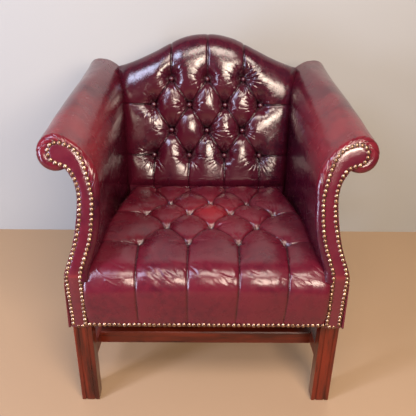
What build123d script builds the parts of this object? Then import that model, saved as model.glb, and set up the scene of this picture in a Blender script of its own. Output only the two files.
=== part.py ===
"""A leather club chair with deep-buttoned seat and back, scrolled arms and square reeded legs.

Millimetres. X is across the chair, Y runs from the front to the back, Z is up.
The origin lies on the floor, in the middle of the chair's plan.
Pieces on the +X side are built first and mirrored for the other side.
"""

import os
from math import cos, radians, sin, tan
from typing import NamedTuple

from build123d import *

# Driving dimensions of the whole chair
front_plane = -348.9  # y of the upright leather at the arm fronts
elbow_height = 442.0  # where the arm fronts start to lean back
leather_bottom = 276.5  # lower edge of the covers
arm_front_rake = 15.8  # degrees from upright

# Coverings and gaps
leather = 2.5
fit_gap = 0.3  # between a cover and what it lies on
joint_gap = 0.15  # round a tenon or dowel
facing_thickness = 4.0  # leather on a card backing
overrun = 40.0  # how far cutters reach past what they cut
reach = 1200.0  # long enough to cross the whole chair
cutter_batch = 8

# Legs
leg_width = 49.0
leg_half_span = 355.0  # x of the front legs' outer faces
leg_top = 355.0
back_leg_width = 40.0
back_leg_half_span = 311.0
back_leg_depth = 42.0
back_foot_sweep = 62.0  # how far the back feet run out behind
stile_top = 772.0
foot_bow_share = 0.3  # of the sweep, at the middle of the foot's curve
foot_bow_height_share = 0.45  # of the leather's lower edge
stile_flare = 20.0  # how far the stiles spread from the rail to their tops
reed_groove = 3.0
reed_place_shares = (0.25, 0.75)  # of the leg's width
leg_chamfer = 9.0  # on the inner corner
glide_radius = 10.0
glide_sides = 16
glide_head = 2.5
glide_pin_radius = 2.0
glide_pin_length = 14.0

# Seat rails and their joints
rail_thickness = 25.0
rail_bottom = 282.0
front_rail_setback = 8.0  # behind the front plane
back_rail_setback = 5.0  # inside the back faces of the stiles
tenon_thickness = 10.0
tenon_length = 20.0
tenon_shoulder = 9.0
block_leg = 62.0
block_height = 45.0
block_screw_radius = 2.2
block_screw_head = 4.5
block_screw_length = 44.0

# Stretchers
stretcher_height = 39.0
stretcher_thickness = 25.0
stretcher_bottom = 127.0
cross_stretcher_setback = 102.0  # behind the legs' front faces
stretcher_tenon = 12.0
back_stretcher_rise = 34.0  # above the side stretchers
back_stretcher_setback = 2.0  # inside the back faces of the back legs
stretcher_bevel = 3.0

# Seat
seat_crown = 467.0
seat_half_width = 299.5
seat_front_half_width = 312.7
seat_back_half_width = 250.0
seat_depth = 482.0  # from the front plane to the back edge
seat_bulge = 15.0  # of the front edge past the front plane
seat_wing = 3.0  # how far the front corners reach behind the front plane
seat_edge_height = 402.0
seat_crown_radius = 3200.0  # across the seat
seat_half_angle = 7.0  # degrees, of the arc across the seat
seat_length_radius = 3000.0  # from the front to the back
seat_top_setback = 200.0  # of the highest line, behind the front plane
seat_corner_setback = 55.0  # where the top starts to roll over the front
seat_corner_round = 60.0
seat_foot_bulge = 7.0  # of the front's lower edge past the front plane
seat_bulge_share = 0.9  # of the bulge, half-way up the front
seat_bulge_drop = 70.0  # below the edge height
seat_roll_drop = 14.0
seat_roll_setback = 4.0
seat_roll_rise = 36.0
seat_roll_share = 0.7  # of an inset, along each axis at the roll's middle
seat_back_step = 19.0  # how far the pad's back steps in under its edge
seat_waist = 12.0  # how far the sides draw in towards the back
seat_waist_setback = 226.0
seat_skirt_gap = 1.5  # between the springs' tops and the leather's lower edge
spring_top = 397.0
burlap = 1.2
web_thickness = 1.5
dust_cloth = 0.8
dust_margin = 4.0  # between the cloth and the frame round it
web_width = 50.0
web_spacing = 66.0
web_middle = 250.0  # behind the front plane

# Springs
spring_radius = 31.0
spring_wire = 3.6
spring_turns = 3
spring_corners = 5
spring_rows = 3

# Seat buttoning
seat_button_y = 146.0  # first row, behind the front plane
seat_row_pitch = 77.0
seat_button_pitch = 134.0
seat_pitch_loss = 4.5  # narrower for each row further back
tuft_depth = 19.0
pleat_depth = 9.0
tuft_radius = 34.0
button_radius = 7.0
button_sides = 6
pleat_half_width = 26.0
pleat_lead = 2.0  # how far a front pleat's path passes outside the stuffing
button_height = 5.0

# Back
back_rake = 17.6  # degrees, inside back
back_foot_y = 499.0  # inside back at its sides, behind the front plane
back_foot_z = 457.0
back_low_half_width = 258.0
back_top_half_width = 287.0
back_crown = 16.0  # how far the middle stands out past the sides
back_top = 470.0  # along the slope, at the middle
back_hump = 436.0  # along the slope, where the hump turns over
back_hump_half_width = 128.0
back_shoulder = 369.0  # along the slope, at the sides
back_tuck = 55.0  # how far the cover runs down behind the seat
crest_front_round = 28.0
crest_back_round = 12.0
back_pad_depth = 44.0
back_button_pitch = 114.0
back_row_pitch = 80.9
back_first_row = 83.0
back_rail_thickness = 25.0
crest_rail_side = 60.0  # height of the crest rail at its ends
crest_rail_cover = 24.0  # stuffing over the top of the crest rail
tack_rail_height = 60.0
outer_back_rake = 12.5  # degrees
outer_back_foot_y = 581.0  # at the leather's lower edge, behind the front plane
outer_crest_top = 872.0
outer_crest_shoulder = 785.0

# Arms
arm_front_inner = 266.0  # x of the section's inner side
arm_front_width = 150.0
arm_front_height = 344.0  # above the elbow
arm_middle_setback = 300.0  # behind the front plane
arm_middle_rake = 16.7
arm_middle_inner = 264.0
arm_middle_width = 135.0
arm_middle_height = 362.0
arm_back_inner = 258.0
arm_back_width = 130.0
arm_back_height = 366.0
arm_edge_round = 7.0
arm_border_depth = 12.0
arm_cover_tuck = 372.0  # lower edge of the inside arm cover
arm_pad_front = 15.7
arm_pad_middle = 20.0
arm_pad_back = 10.0
post_thickness = 33.0
post_draw = 7.0  # from the outside leather in to the post
post_foot_depth = 49.0
arm_rail_size = 28.0
arm_rail_chamfer = 6.0
arm_tack_rail_size = 22.0
arm_rail_front_shares = (0.693, 0.871)  # the top rail's middle in the front section
arm_rail_back_shares = (0.438, 0.86)
arm_tack_rail_low = 378.0
arm_tack_front_x = 341.0
arm_tack_back_x = 301.0
arm_lip = 24.0  # how far the cover turns in behind the facing
pin_sides = 8  # of pins, screws and dowels
dowel_radius = 4.0
dowel_length = 50.0
dowel_spacing = 14.5
burlap_slope_share = 3.2  # of a web's width, at the back


class Station(NamedTuple):
    """One cross-section of the arm: its place, its box and its outlines."""

    y: float
    rake: float
    inner: float
    width: float
    height: float
    cover_shares: tuple
    panel_shares: tuple


# Each row is a share across the arm's box, a share up it, the direction the leather faces in degrees,
# and whether the point is a corner or lies on the arc between two corners. The cover runs from under
# the roll, over it and down inside the arm. The panel runs from under the roll down outside the arm.
front_cover_shares = (
    (0.530, 0.760, -122, "corner"),
    (0.800, 0.748, -70, "arc"),
    (0.990, 0.848, -10, "corner"),
    (0.905, 0.963, 45, "arc"),
    (0.640, 1.000, 100, "corner"),
    (0.205, 0.875, 147, "arc"),
    (0.000, 0.550, 180, "corner"),
    (0.045, 0.275, 190, "arc"),
    (0.220, 0.045, 200, "corner"),
    (0.220, -0.280, 180, "foot"),
)
middle_cover_shares = (
    (0.470, 0.763, -122, "corner"),
    (0.770, 0.750, -70, "arc"),
    (0.988, 0.848, -10, "corner"),
    (0.893, 0.960, 45, "arc"),
    (0.593, 1.000, 100, "corner"),
    (0.190, 0.870, 147, "arc"),
    (0.000, 0.547, 180, "corner"),
    (0.020, 0.285, 188, "arc"),
    (0.090, 0.044, 194, "corner"),
    (0.090, -0.270, 180, "foot"),
)
back_cover_shares = (
    (0.620, 0.800, -100, "corner"),
    (0.850, 0.812, -62, "arc"),
    (1.000, 0.905, 0, "corner"),
    (0.918, 0.974, 45, "arc"),
    (0.674, 1.000, 95, "corner"),
    (0.250, 0.944, 130, "arc"),
    (0.073, 0.704, 176, "corner"),
    (0.029, 0.350, 182, "arc"),
    (-0.058, 0.044, 184, "corner"),
    (-0.058, -0.265, 180, "foot"),
)
front_panel_shares = (
    (0.507, 0.747, -35, "corner"),
    (0.390, 0.657, -14, "arc"),
    (0.360, 0.547, 0, "corner"),
    (0.467, 0.230, 18, "arc"),
    (0.637, 0.000, 10, "corner"),
    (0.672, -0.480, 0, "foot"),
)
middle_panel_shares = (
    (0.448, 0.746, -10, "corner"),
    (0.448, 0.663, -4, "arc"),
    (0.467, 0.547, 2, "corner"),
    (0.526, 0.243, 6, "arc"),
    (0.600, 0.000, 6, "corner"),
    (0.580, -0.457, 0, "foot"),
)
back_panel_shares = (
    (0.612, 0.786, 0, "corner"),
    (0.599, 0.690, 2, "arc"),
    (0.577, 0.541, 3, "corner"),
    (0.542, 0.268, 3, "arc"),
    (0.508, 0.000, 3, "corner"),
    (0.438, -0.452, 0, "foot"),
)
# The nailed leather on the arm front, from under the scroll round its head and down its inner side
facing_shares = (
    (0.527, 0.762, "corner"),
    (0.640, 0.776, "arc"),
    (0.740, 0.797, "corner"),
    (0.853, 0.872, "arc"),
    (0.720, 0.956, "corner"),
    (0.460, 0.940, "arc"),
    (0.253, 0.869, "corner"),
    (0.127, 0.703, "arc"),
    (0.070, 0.541, "corner"),
    (0.107, 0.320, "arc"),
    (0.317, 0.012, "corner"),
)


def behind_front(distance):
    """The y that lies a distance behind the front plane."""
    return front_plane + distance


def outer_back_y(z):
    """The y of the outside back's surface at a height."""
    return behind_front(outer_back_foot_y) + (z - leather_bottom) * tan(radians(outer_back_rake))


arm_front = Station(
    front_plane,
    arm_front_rake,
    arm_front_inner,
    arm_front_width,
    arm_front_height,
    front_cover_shares,
    front_panel_shares,
)
arm_middle = Station(
    behind_front(arm_middle_setback),
    arm_middle_rake,
    arm_middle_inner,
    arm_middle_width,
    arm_middle_height,
    middle_cover_shares,
    middle_panel_shares,
)
arm_back = Station(
    outer_back_y(elbow_height) - (leather + fit_gap) / cos(radians(outer_back_rake)),
    outer_back_rake,
    arm_back_inner,
    arm_back_width,
    arm_back_height,
    back_cover_shares,
    back_panel_shares,
)


def station_plane(station, setback=0.0):
    """The leaning plane of an arm section, its origin at elbow height."""
    lean = radians(station.rake)
    plane = Plane(
        origin=(0, station.y, elbow_height), x_dir=(1, 0, 0), z_dir=(0, -cos(lean), sin(lean))
    )
    return plane.offset(-setback)


def drawn_in(station, shares, inset, foot_height, upright=False):
    """The points of an arm outline, drawn in by inset, as seen in the section or from the front."""
    stretch = 1.0 if upright else cos(radians(station.rake))
    points = []
    for across, up, facing, kind in shares:
        x = station.inner + across * station.width - inset * cos(radians(facing))
        z = up * station.height - inset * sin(radians(facing))
        if kind == "foot":
            z = foot_height - elbow_height
            x = points[-1][0] if upright else x
        points.append((x, z / stretch, kind))
    return points


def trace(points):
    """Draws lines between corners, and arcs where a point between two corners says so."""
    start, through = points[0][:2], None
    for x, y, kind in points[1:]:
        if kind == "arc":
            through = (x, y)
            continue
        if through:
            ThreePointArc(start, through, (x, y))
        else:
            Line(start, (x, y))
        start, through = (x, y), None


def corners(*points):
    """Plain corner points in the form that trace takes."""
    return [(x, y, "corner") for x, y in points]


def arm_band(chain, foot_height, sections, ruled=False):
    """A strip of cover or stuffing between two insets, lofted through arm sections."""
    with BuildPart() as band:
        for station, setback, outer, inner in sections:
            shares = getattr(station, chain)
            there = drawn_in(station, shares, outer, foot_height)
            back_again = drawn_in(station, shares, inner, foot_height)[::-1]
            with BuildSketch(station_plane(station, setback)):
                with BuildLine():
                    trace(there + back_again + there[:1])
                make_face()
        loft(ruled=ruled)
    return band.part


def crossing(front_outline, side_outline):
    """The solid whose front view is one outline and whose side view is the other."""
    with BuildPart() as solid:
        with BuildSketch(Plane.XZ):
            with BuildLine():
                trace(front_outline + front_outline[:1])
            make_face()
        extrude(amount=reach, both=True)
        with BuildSketch(Plane.YZ):
            with BuildLine():
                trace(side_outline + side_outline[:1])
            make_face()
        extrude(amount=reach, both=True, mode=Mode.INTERSECT)
    return solid.part


def without(body, *cutters):
    """A body less the solids that take its room."""
    with BuildPart() as rest:
        add(body)
        add(cutters, mode=Mode.SUBTRACT)
    return rest.part


def carved(body, cutters):
    """A body less many crossing cutters, a few at a time so that each cut stays sound."""
    for start in range(0, len(cutters), cutter_batch):
        body = without(body, *cutters[start : start + cutter_batch])
    return body


def main_solid(body):
    """The largest solid of a cut body, without the crumbs."""
    return Part() + max(body.solids(), key=lambda solid: solid.volume)


def mirrored(body):
    """The same piece for the -X side."""
    with BuildPart() as other:
        mirror(body, about=Plane.YZ)
    return other.part


def box_between(low, high):
    """A box from its lowest to its highest corner."""
    with BuildPart() as box:
        with Locations([((low[0] + high[0]) / 2, (low[1] + high[1]) / 2, (low[2] + high[2]) / 2)]):
            Box(high[0] - low[0], high[1] - low[1], high[2] - low[2])
    return box.part


def save(part, name):
    """Labels a finished piece and writes its file."""
    part.label = name
    export_step(part, f"parts/{name}.step")


def save_pair(part, name):
    """Writes a +X piece and its mirror image."""
    save(part, f"{name}_right")
    save(mirrored(part), f"{name}_left")


os.makedirs("parts", exist_ok=True)

# Side views that several pieces share


def bent_front(low, high, depth):
    """The arm front's side view, a depth behind the leather: upright, then leaning back."""
    lean = radians(arm_front_rake)
    return [
        (behind_front(depth), low),
        (behind_front(depth), elbow_height - depth * tan(lean / 2)),
        (behind_front(depth / cos(lean)) + (high - elbow_height) * tan(lean), high),
    ]


arm_reach = elbow_height + arm_front.height + overrun

# Front legs, with grooves that leave three reeds on the two outer faces
leg_front = behind_front(facing_thickness + fit_gap)
with BuildPart() as front_leg:
    with BuildSketch(Plane.XY.offset(glide_head)):
        with BuildLine():
            trace(
                corners(
                    (leg_half_span, leg_front),
                    (leg_half_span, leg_front + leg_width),
                    (leg_half_span - leg_width + leg_chamfer, leg_front + leg_width),
                    (leg_half_span - leg_width, leg_front + leg_width - leg_chamfer),
                    (leg_half_span - leg_width, leg_front),
                    (leg_half_span, leg_front),
                )
            )
        make_face()
    extrude(amount=leg_top - glide_head)
    with BuildSketch(Plane.XY.offset(glide_head)):
        for share in reed_place_shares:
            with Locations(
                (leg_half_span - leg_width * share, leg_front),
                (leg_half_span, leg_front + leg_width * share),
            ):
                RegularPolygon(reed_groove, 4, rotation=45)
    extrude(amount=leather_bottom - glide_head, mode=Mode.SUBTRACT)
    with BuildSketch(Plane.XY.offset(glide_head)):
        with Locations((leg_half_span - leg_width / 2, leg_front + leg_width / 2)):
            RegularPolygon(glide_pin_radius + joint_gap, pin_sides)
    extrude(amount=glide_pin_length, mode=Mode.SUBTRACT)

# Back legs, which run up as the stiles of the back
stile_back_low = outer_back_y(leather_bottom) - leather - 2 * fit_gap
stile_back_high = outer_back_y(stile_top) - leather - 2 * fit_gap
foot_back = stile_back_low + back_foot_sweep
foot_bow = back_foot_sweep * foot_bow_share
foot_bow_height = leather_bottom * foot_bow_height_share
back_leg_shape = crossing(
    corners(
        (back_leg_half_span, glide_head),
        (back_leg_half_span, leather_bottom),
        (back_leg_half_span + stile_flare, stile_top),
        (back_leg_half_span + stile_flare - back_leg_width, stile_top),
        (back_leg_half_span - back_leg_width, leather_bottom),
        (back_leg_half_span - back_leg_width, glide_head),
    ),
    [
        (foot_back, glide_head, "corner"),
        (stile_back_low + foot_bow, foot_bow_height, "arc"),
        (stile_back_low, leather_bottom, "corner"),
        (stile_back_high, stile_top, "corner"),
        (stile_back_high - back_leg_depth, stile_top, "corner"),
        (stile_back_low - back_leg_depth, leather_bottom, "corner"),
        (stile_back_low - back_leg_depth + foot_bow, foot_bow_height, "arc"),
        (foot_back - back_leg_depth, glide_head, "corner"),
    ],
)

# Rails of the seat, tenoned into the legs
side_rail_front = leg_front + leg_width
front_rail_front = behind_front(front_rail_setback)
tenon_inset = (rail_thickness - tenon_thickness) / 2
tenon_low = rail_bottom + tenon_shoulder
tenon_high = leg_top - tenon_shoulder
leg_inner = leg_half_span - leg_width
back_leg_inner = back_leg_half_span - back_leg_width
back_rail_back = stile_back_low - back_rail_setback
side_tenon_end = stile_back_low - back_leg_depth + tenon_length + leg_chamfer / 2


def joint_box(low, high, slack=0.0):
    """A tenon's box, or with slack the mortise that takes it."""
    return box_between([a - slack for a in low], [b + slack for b in high])


def tenoned(bar, *tenons):
    """A bar with its tenons."""
    with BuildPart() as piece:
        add(bar)
        for low, high in tenons:
            add(joint_box(low, high))
    return piece.part


def both_ends(low, high):
    """A tenon's corners at +X and their mirror image at -X."""
    return (low, high), ((-high[0], low[1], low[2]), (-low[0], high[1], high[2]))


front_rail_tenons = both_ends(
    (leg_inner - tenon_shoulder, front_rail_front + tenon_inset, tenon_low),
    (leg_inner + tenon_length, front_rail_front + rail_thickness - tenon_inset, tenon_high),
)
front_rail = tenoned(
    box_between(
        (-leg_inner, front_rail_front, rail_bottom),
        (leg_inner, front_rail_front + rail_thickness, leg_top),
    ),
    *front_rail_tenons,
)
back_rail_tenons = both_ends(
    (back_leg_inner - tenon_shoulder, back_rail_back - rail_thickness + tenon_inset, tenon_low),
    (back_leg_inner + tenon_length, back_rail_back - tenon_inset, tenon_high),
)
back_rail = tenoned(
    without(
        box_between(
            (-back_leg_half_span, back_rail_back - rail_thickness, rail_bottom),
            (back_leg_half_span, back_rail_back, leg_top),
        ),
        back_leg_shape,
        mirrored(back_leg_shape),
        box_between(
            (back_leg_inner + tenon_shoulder, back_rail_back - rail_thickness - overrun, 0),
            (reach, back_rail_back + overrun, reach),
        ),
        box_between(
            (-reach, back_rail_back - rail_thickness - overrun, 0),
            (-back_leg_inner - tenon_shoulder, back_rail_back + overrun, reach),
        ),
    ),
    *back_rail_tenons,
)


def side_bar(front_x, back_x, thickness, low, high, back_end):
    """A bar along the chair's side whose outer face runs from one x at the front leg to another."""
    with BuildPart() as bar:
        with BuildSketch(Plane.XY.offset(low)):
            with BuildLine():
                Polyline(
                    (front_x, side_rail_front),
                    (back_x, back_end),
                    (back_x - thickness, back_end),
                    (front_x - thickness, side_rail_front),
                    close=True,
                )
            make_face()
        extrude(amount=high - low)
    return bar.part


leg_front_face = stile_back_low - back_leg_depth
side_rail_tenons = (
    (
        (leg_half_span - rail_thickness + tenon_inset, side_rail_front - tenon_length, tenon_low),
        (leg_half_span - tenon_inset, side_rail_front + tenon_shoulder, tenon_high),
    ),
    (
        (back_leg_half_span - rail_thickness + tenon_inset, leg_front_face - tenon_shoulder, tenon_low),
        (back_leg_half_span - tenon_inset, side_tenon_end, tenon_high),
    ),
)
side_rail = tenoned(
    without(
        side_bar(
            leg_half_span,
            back_leg_half_span,
            rail_thickness,
            rail_bottom,
            leg_top,
            leg_front_face + back_leg_depth / 2,
        ),
        back_leg_shape,
    ),
    *side_rail_tenons,
)

# Stretchers between the legs
stretcher_top = stretcher_bottom + stretcher_height
stretcher_front_x = leg_inner + leg_chamfer / 2 + stretcher_thickness
stretcher_back_x = back_leg_half_span - tenon_shoulder
stretcher_inset = (stretcher_thickness - tenon_thickness) / 2
stretcher_tenon_low = stretcher_bottom + tenon_shoulder
stretcher_tenon_high = stretcher_top - tenon_shoulder
back_foot_front = leg_front_face + foot_bow
side_stretcher_tenons = (
    (
        (
            stretcher_front_x - stretcher_thickness + stretcher_inset,
            side_rail_front - stretcher_tenon,
            stretcher_tenon_low,
        ),
        (stretcher_front_x - stretcher_inset, side_rail_front + tenon_shoulder, stretcher_tenon_high),
    ),
    (
        (
            stretcher_back_x - stretcher_thickness + stretcher_inset,
            back_foot_front - 2 * tenon_shoulder,
            stretcher_tenon_low,
        ),
        (stretcher_back_x - stretcher_inset, back_foot_front + stretcher_tenon, stretcher_tenon_high),
    ),
)
stretcher_run = leg_front_face + back_leg_depth / 2 - side_rail_front


def stretcher_inner_x(y):
    """The x of a side stretcher's inner face."""
    along = (y - side_rail_front) / stretcher_run
    return stretcher_front_x - stretcher_thickness + (stretcher_back_x - stretcher_front_x) * along


cross_front = leg_front + cross_stretcher_setback
cross_back = cross_front + stretcher_thickness
cross_tenons = both_ends(
    (stretcher_inner_x(cross_back) - tenon_shoulder, cross_front + stretcher_inset, stretcher_tenon_low),
    (stretcher_inner_x(cross_back) + stretcher_tenon, cross_back - stretcher_inset, stretcher_tenon_high),
)
with BuildPart() as cross_bar:
    with BuildSketch(Plane.XY.offset(stretcher_bottom)):
        with BuildLine():
            Polyline(
                (stretcher_inner_x(cross_front), cross_front),
                (stretcher_inner_x(cross_back), cross_back),
                (-stretcher_inner_x(cross_back), cross_back),
                (-stretcher_inner_x(cross_front), cross_front),
                close=True,
            )
        make_face()
    extrude(amount=stretcher_height)
    chamfer(cross_bar.edges().group_by(Axis.Z)[-1].group_by(Axis.Y)[0], stretcher_bevel)
cross_stretcher = tenoned(cross_bar.part, *cross_tenons)
side_stretcher = without(
    tenoned(
        without(
            side_bar(
                stretcher_front_x,
                stretcher_back_x,
                stretcher_thickness,
                stretcher_bottom,
                stretcher_top,
                leg_front_face + back_leg_depth / 2,
            ),
            back_leg_shape,
        ),
        *side_stretcher_tenons,
    ),
    joint_box(*cross_tenons[0], joint_gap),
)
back_stretcher_low = stretcher_bottom + back_stretcher_rise
back_stretcher_high = back_stretcher_low + stretcher_height
back_stretcher_back = stile_back_low - back_stretcher_setback
back_stretcher_tenons = both_ends(
    (
        back_leg_inner - tenon_shoulder,
        back_stretcher_back - stretcher_thickness + stretcher_inset,
        back_stretcher_low + tenon_shoulder,
    ),
    (
        back_leg_inner + stretcher_tenon,
        back_stretcher_back - stretcher_inset,
        back_stretcher_high - tenon_shoulder,
    ),
)
back_stretcher = tenoned(
    box_between(
        (-back_leg_inner, back_stretcher_back - stretcher_thickness, back_stretcher_low),
        (back_leg_inner, back_stretcher_back, back_stretcher_high),
    ),
    *back_stretcher_tenons,
)

# Legs with their mortises
front_leg_done = without(
    front_leg.part,
    joint_box(*front_rail_tenons[0], joint_gap),
    joint_box(*side_rail_tenons[0], joint_gap),
    joint_box(*side_stretcher_tenons[0], joint_gap),
)
glide_back = (back_leg_half_span - back_leg_width / 2, foot_back - back_leg_depth / 2)
with BuildPart() as back_glide_hole:
    with BuildSketch(Plane.XY.offset(glide_head)):
        with Locations(glide_back):
            RegularPolygon(glide_pin_radius + joint_gap, pin_sides)
    extrude(amount=glide_pin_length)
back_leg_done = without(
    back_leg_shape,
    joint_box(*back_rail_tenons[0], joint_gap),
    joint_box(*side_rail_tenons[1], joint_gap),
    joint_box(*side_stretcher_tenons[1], joint_gap),
    joint_box(*back_stretcher_tenons[0], joint_gap),
    back_glide_hole.part,
)
save(front_rail, "front_seat_rail")
save(back_rail, "back_seat_rail")
save_pair(side_rail, "side_seat_rail")
save_pair(side_stretcher, "side_stretcher")
save(cross_stretcher, "cross_stretcher")
save(back_stretcher, "back_stretcher")

# Nail-on glides under the feet
with BuildPart() as foot_glides:
    glide_front = (leg_half_span - leg_width / 2, leg_front + leg_width / 2)
    with BuildSketch(Plane.XY):
        with Locations(glide_front, glide_back):
            RegularPolygon(glide_radius, glide_sides)
    extrude(amount=glide_head)
    with BuildSketch(Plane.XY.offset(glide_head)):
        with Locations(glide_front, glide_back):
            RegularPolygon(glide_pin_radius, pin_sides)
    extrude(amount=glide_pin_length - fit_gap)
    mirror(about=Plane.YZ)
save(foot_glides.part, "foot_glides")

# Glue blocks in the corners of the seat frame, each with a screw into the leg
block_high = leg_top - tenon_shoulder
block_low = block_high - block_height


def rail_inner_x(y):
    """The x of a side rail's inner face."""
    along = (y - side_rail_front) / (leg_front_face + back_leg_depth / 2 - side_rail_front)
    return leg_half_span - rail_thickness + (back_leg_half_span - leg_half_span) * along


front_block = (
    (leg_inner - block_leg, front_rail_front + rail_thickness),
    (leg_inner, front_rail_front + rail_thickness),
    (leg_inner, side_rail_front),
    (rail_inner_x(side_rail_front), side_rail_front),
    (rail_inner_x(side_rail_front + block_leg), side_rail_front + block_leg),
)
back_rail_front = back_rail_back - rail_thickness
back_block = (
    (back_leg_inner - block_leg, back_rail_front),
    (back_leg_inner, back_rail_front),
    (back_leg_inner, leg_front_face),
    (rail_inner_x(leg_front_face), leg_front_face),
    (rail_inner_x(leg_front_face - block_leg), leg_front_face - block_leg),
)
front_screw_start = (
    (front_block[0][0] + front_block[4][0]) / 2,
    (front_block[0][1] + front_block[4][1]) / 2,
    (block_low + block_high) / 2,
)
back_screw_start = (
    (back_block[0][0] + back_block[4][0]) / 2,
    (back_block[0][1] + back_block[4][1]) / 2,
    (block_low + block_high) / 2,
)


def screw_plane(start, corner):
    """The plane of a screw's head, facing away from the leg corner that the screw enters."""
    away = Vector(start[0] - corner[0], start[1] - corner[1], 0)
    return Plane(origin=start, x_dir=(0, 0, 1), z_dir=away)


def block_screw(plane, slack=0.0):
    """A countersunk screw, or with slack its hole."""
    with BuildPart() as screw:
        with BuildSketch(plane):
            RegularPolygon(block_screw_head + slack, pin_sides)
        with BuildSketch(plane.offset(-block_screw_head)):
            RegularPolygon(block_screw_radius + slack, pin_sides)
        loft(ruled=True)
        with BuildSketch(plane.offset(-block_screw_head)):
            RegularPolygon(block_screw_radius + slack, pin_sides)
        extrude(amount=-(block_screw_length - block_screw_head + slack))
    return screw.part


front_screw_plane = screw_plane(front_screw_start, (leg_inner, side_rail_front))
back_screw_plane = screw_plane(back_screw_start, (back_leg_inner, leg_front_face))
with BuildPart() as corner_blocks_right:
    with BuildSketch(Plane.XY.offset(block_low)):
        with BuildLine():
            Polyline(*front_block, close=True)
        make_face()
        with BuildLine():
            Polyline(*back_block, close=True)
        make_face()
    extrude(amount=block_height)
    add(block_screw(front_screw_plane, joint_gap), mode=Mode.SUBTRACT)
    add(block_screw(back_screw_plane, joint_gap), mode=Mode.SUBTRACT)
with BuildPart() as corner_blocks:
    add(without(corner_blocks_right.part, back_leg_shape))
    mirror(about=Plane.YZ)
save(corner_blocks.part, "corner_blocks")
with BuildPart() as block_screws:
    add(block_screw(front_screw_plane))
    add(block_screw(back_screw_plane))
    mirror(about=Plane.YZ)
save(block_screws.part, "corner_block_screws")

# Webbing tacked under the rails, in two layers
web_run = back_rail_back - front_rail_front - tenon_shoulder
long_web = (-2, -1, 0, 1, 2)
with BuildPart() as webbing_long:
    with BuildSketch(Plane.XY.offset(rail_bottom - web_thickness)):
        with Locations(
            [(step * web_spacing, (front_rail_front + back_rail_back) / 2) for step in long_web]
        ):
            Rectangle(web_width, web_run)
    extrude(amount=web_thickness)
with BuildPart() as webbing_cross:
    with BuildSketch(Plane.XY.offset(rail_bottom - 2 * web_thickness)):
        for step in long_web:
            web_y = behind_front(web_middle) + step * web_spacing
            with Locations((0, web_y)):
                Rectangle(2 * rail_inner_x(web_y + web_width / 2) + rail_thickness, web_width)
    extrude(amount=web_thickness)
save(webbing_long.part, "seat_webbing_lengthwise")
save(webbing_cross.part, "seat_webbing_crosswise")

# Coil springs standing on the webbing
spring_low = rail_bottom + fit_gap + spring_wire * 0.75
spring_high = spring_top - burlap - fit_gap - spring_wire * 0.75
spring_steps = spring_turns * spring_corners
spring_points = [
    (
        spring_radius * cos(radians(360 / spring_corners * step)),
        spring_radius * sin(radians(360 / spring_corners * step)),
        spring_low + (spring_high - spring_low) * step / spring_steps,
    )
    for step in range(spring_steps + 1)
]
with BuildPart() as spring:
    with BuildLine() as spring_path:
        Polyline(*spring_points)
    with BuildSketch(Plane(origin=spring_path.line @ 0, z_dir=spring_path.line % 0)):
        Rectangle(spring_wire, spring_wire)
    sweep(path=spring_path.line, transition=Transition.RIGHT)
with BuildPart() as seat_springs:
    with Locations(Plane(origin=(0, behind_front(web_middle), 0))):
        with GridLocations(2 * web_spacing, 2 * web_spacing, spring_rows, spring_rows):
            add(spring.part)
save(seat_springs.part, "seat_springs")


# Burlap over the springs, tacked to the tops of the rails
def burlap_tray(drop, spread=0.0):
    """The solid under the burlap, lowered by drop and grown by spread."""
    low_front = (leg_inner + tenon_shoulder / 2 + spread, front_rail_front + tenon_shoulder - spread)
    low_back = (back_leg_inner - fit_gap * 3 + spread, back_rail_back + spread)
    top_front = (low_front[0] - web_width, low_front[1] + web_width)
    top_back = (low_back[0] - web_width, low_back[1] - burlap_slope_share * web_width)
    with BuildPart() as tray:
        for z, front, back in (
            (leg_top, low_front, low_back),
            (spring_top + spread, top_front, top_back),
        ):
            with BuildSketch(Plane.XY.offset(z - drop)):
                with BuildLine():
                    Polyline(
                        front,
                        back,
                        (-back[0], back[1]),
                        (-front[0], front[1]),
                        close=True,
                    )
                make_face()
        loft(ruled=True)
    return tray.part


below_rails = box_between((-reach, -reach, 0), (reach, reach, leg_top))
burlap_cover = without(burlap_tray(0.0), burlap_tray(burlap), below_rails)
save(burlap_cover, "spring_burlap")

# Seat stuffing and its buttoned leather
seat_top_y = behind_front(seat_top_setback)
seat_corner_y = behind_front(seat_corner_setback)
seat_skirt = spring_top + seat_skirt_gap  # lower edge of the seat leather at its sides and back


def seat_height(y, x=0.0):
    """The seat's surface before buttoning."""
    fall = (y - seat_top_y) ** 2 / (2 * seat_length_radius) + x**2 / (2 * seat_crown_radius)
    return seat_crown - fall


def seat_plan(inset):
    """Half of the seat's outline from above, from the front corner to the back."""
    return [
        (seat_front_half_width - inset, behind_front(-overrun), "corner"),
        (seat_front_half_width - inset, behind_front(seat_wing - inset), "corner"),
        (seat_half_width - inset, behind_front(seat_wing - inset), "corner"),
        (seat_half_width - seat_waist - inset, behind_front(seat_waist_setback), "arc"),
        (seat_back_half_width - inset, behind_front(seat_depth + overrun), "corner"),
    ]


def both_halves(half):
    """A closed outline from its +X half."""
    return half + [(-x, y, kind) for x, y, kind in half[::-1]] + half[:1]


def seat_prism(inset, low, high):
    """The seat's plan outline carried up between two heights."""
    with BuildPart() as prism:
        with BuildSketch(Plane.XY.offset(low)):
            with BuildLine():
                trace(both_halves(seat_plan(inset)))
            make_face()
        extrude(amount=high - low)
    return prism.part


def pleat_groove(plane, length, inset):
    """A groove cutter along a plane's normal. The leather's own groove has a bend in its sides."""
    bend = pleat_half_width / 3
    right = [(pleat_half_width, -inset), (pleat_half_width, overrun)]
    if inset == 0:
        right.insert(0, (bend, -pleat_depth / 2))
    left = [(-x, y) for x, y in right[::-1]]
    with BuildPart() as cutter:
        with BuildSketch(plane):
            with BuildLine():
                Polyline((0, -pleat_depth - inset), *right, *left, close=True)
            make_face()
        extrude(amount=length)
    return cutter.part


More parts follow.
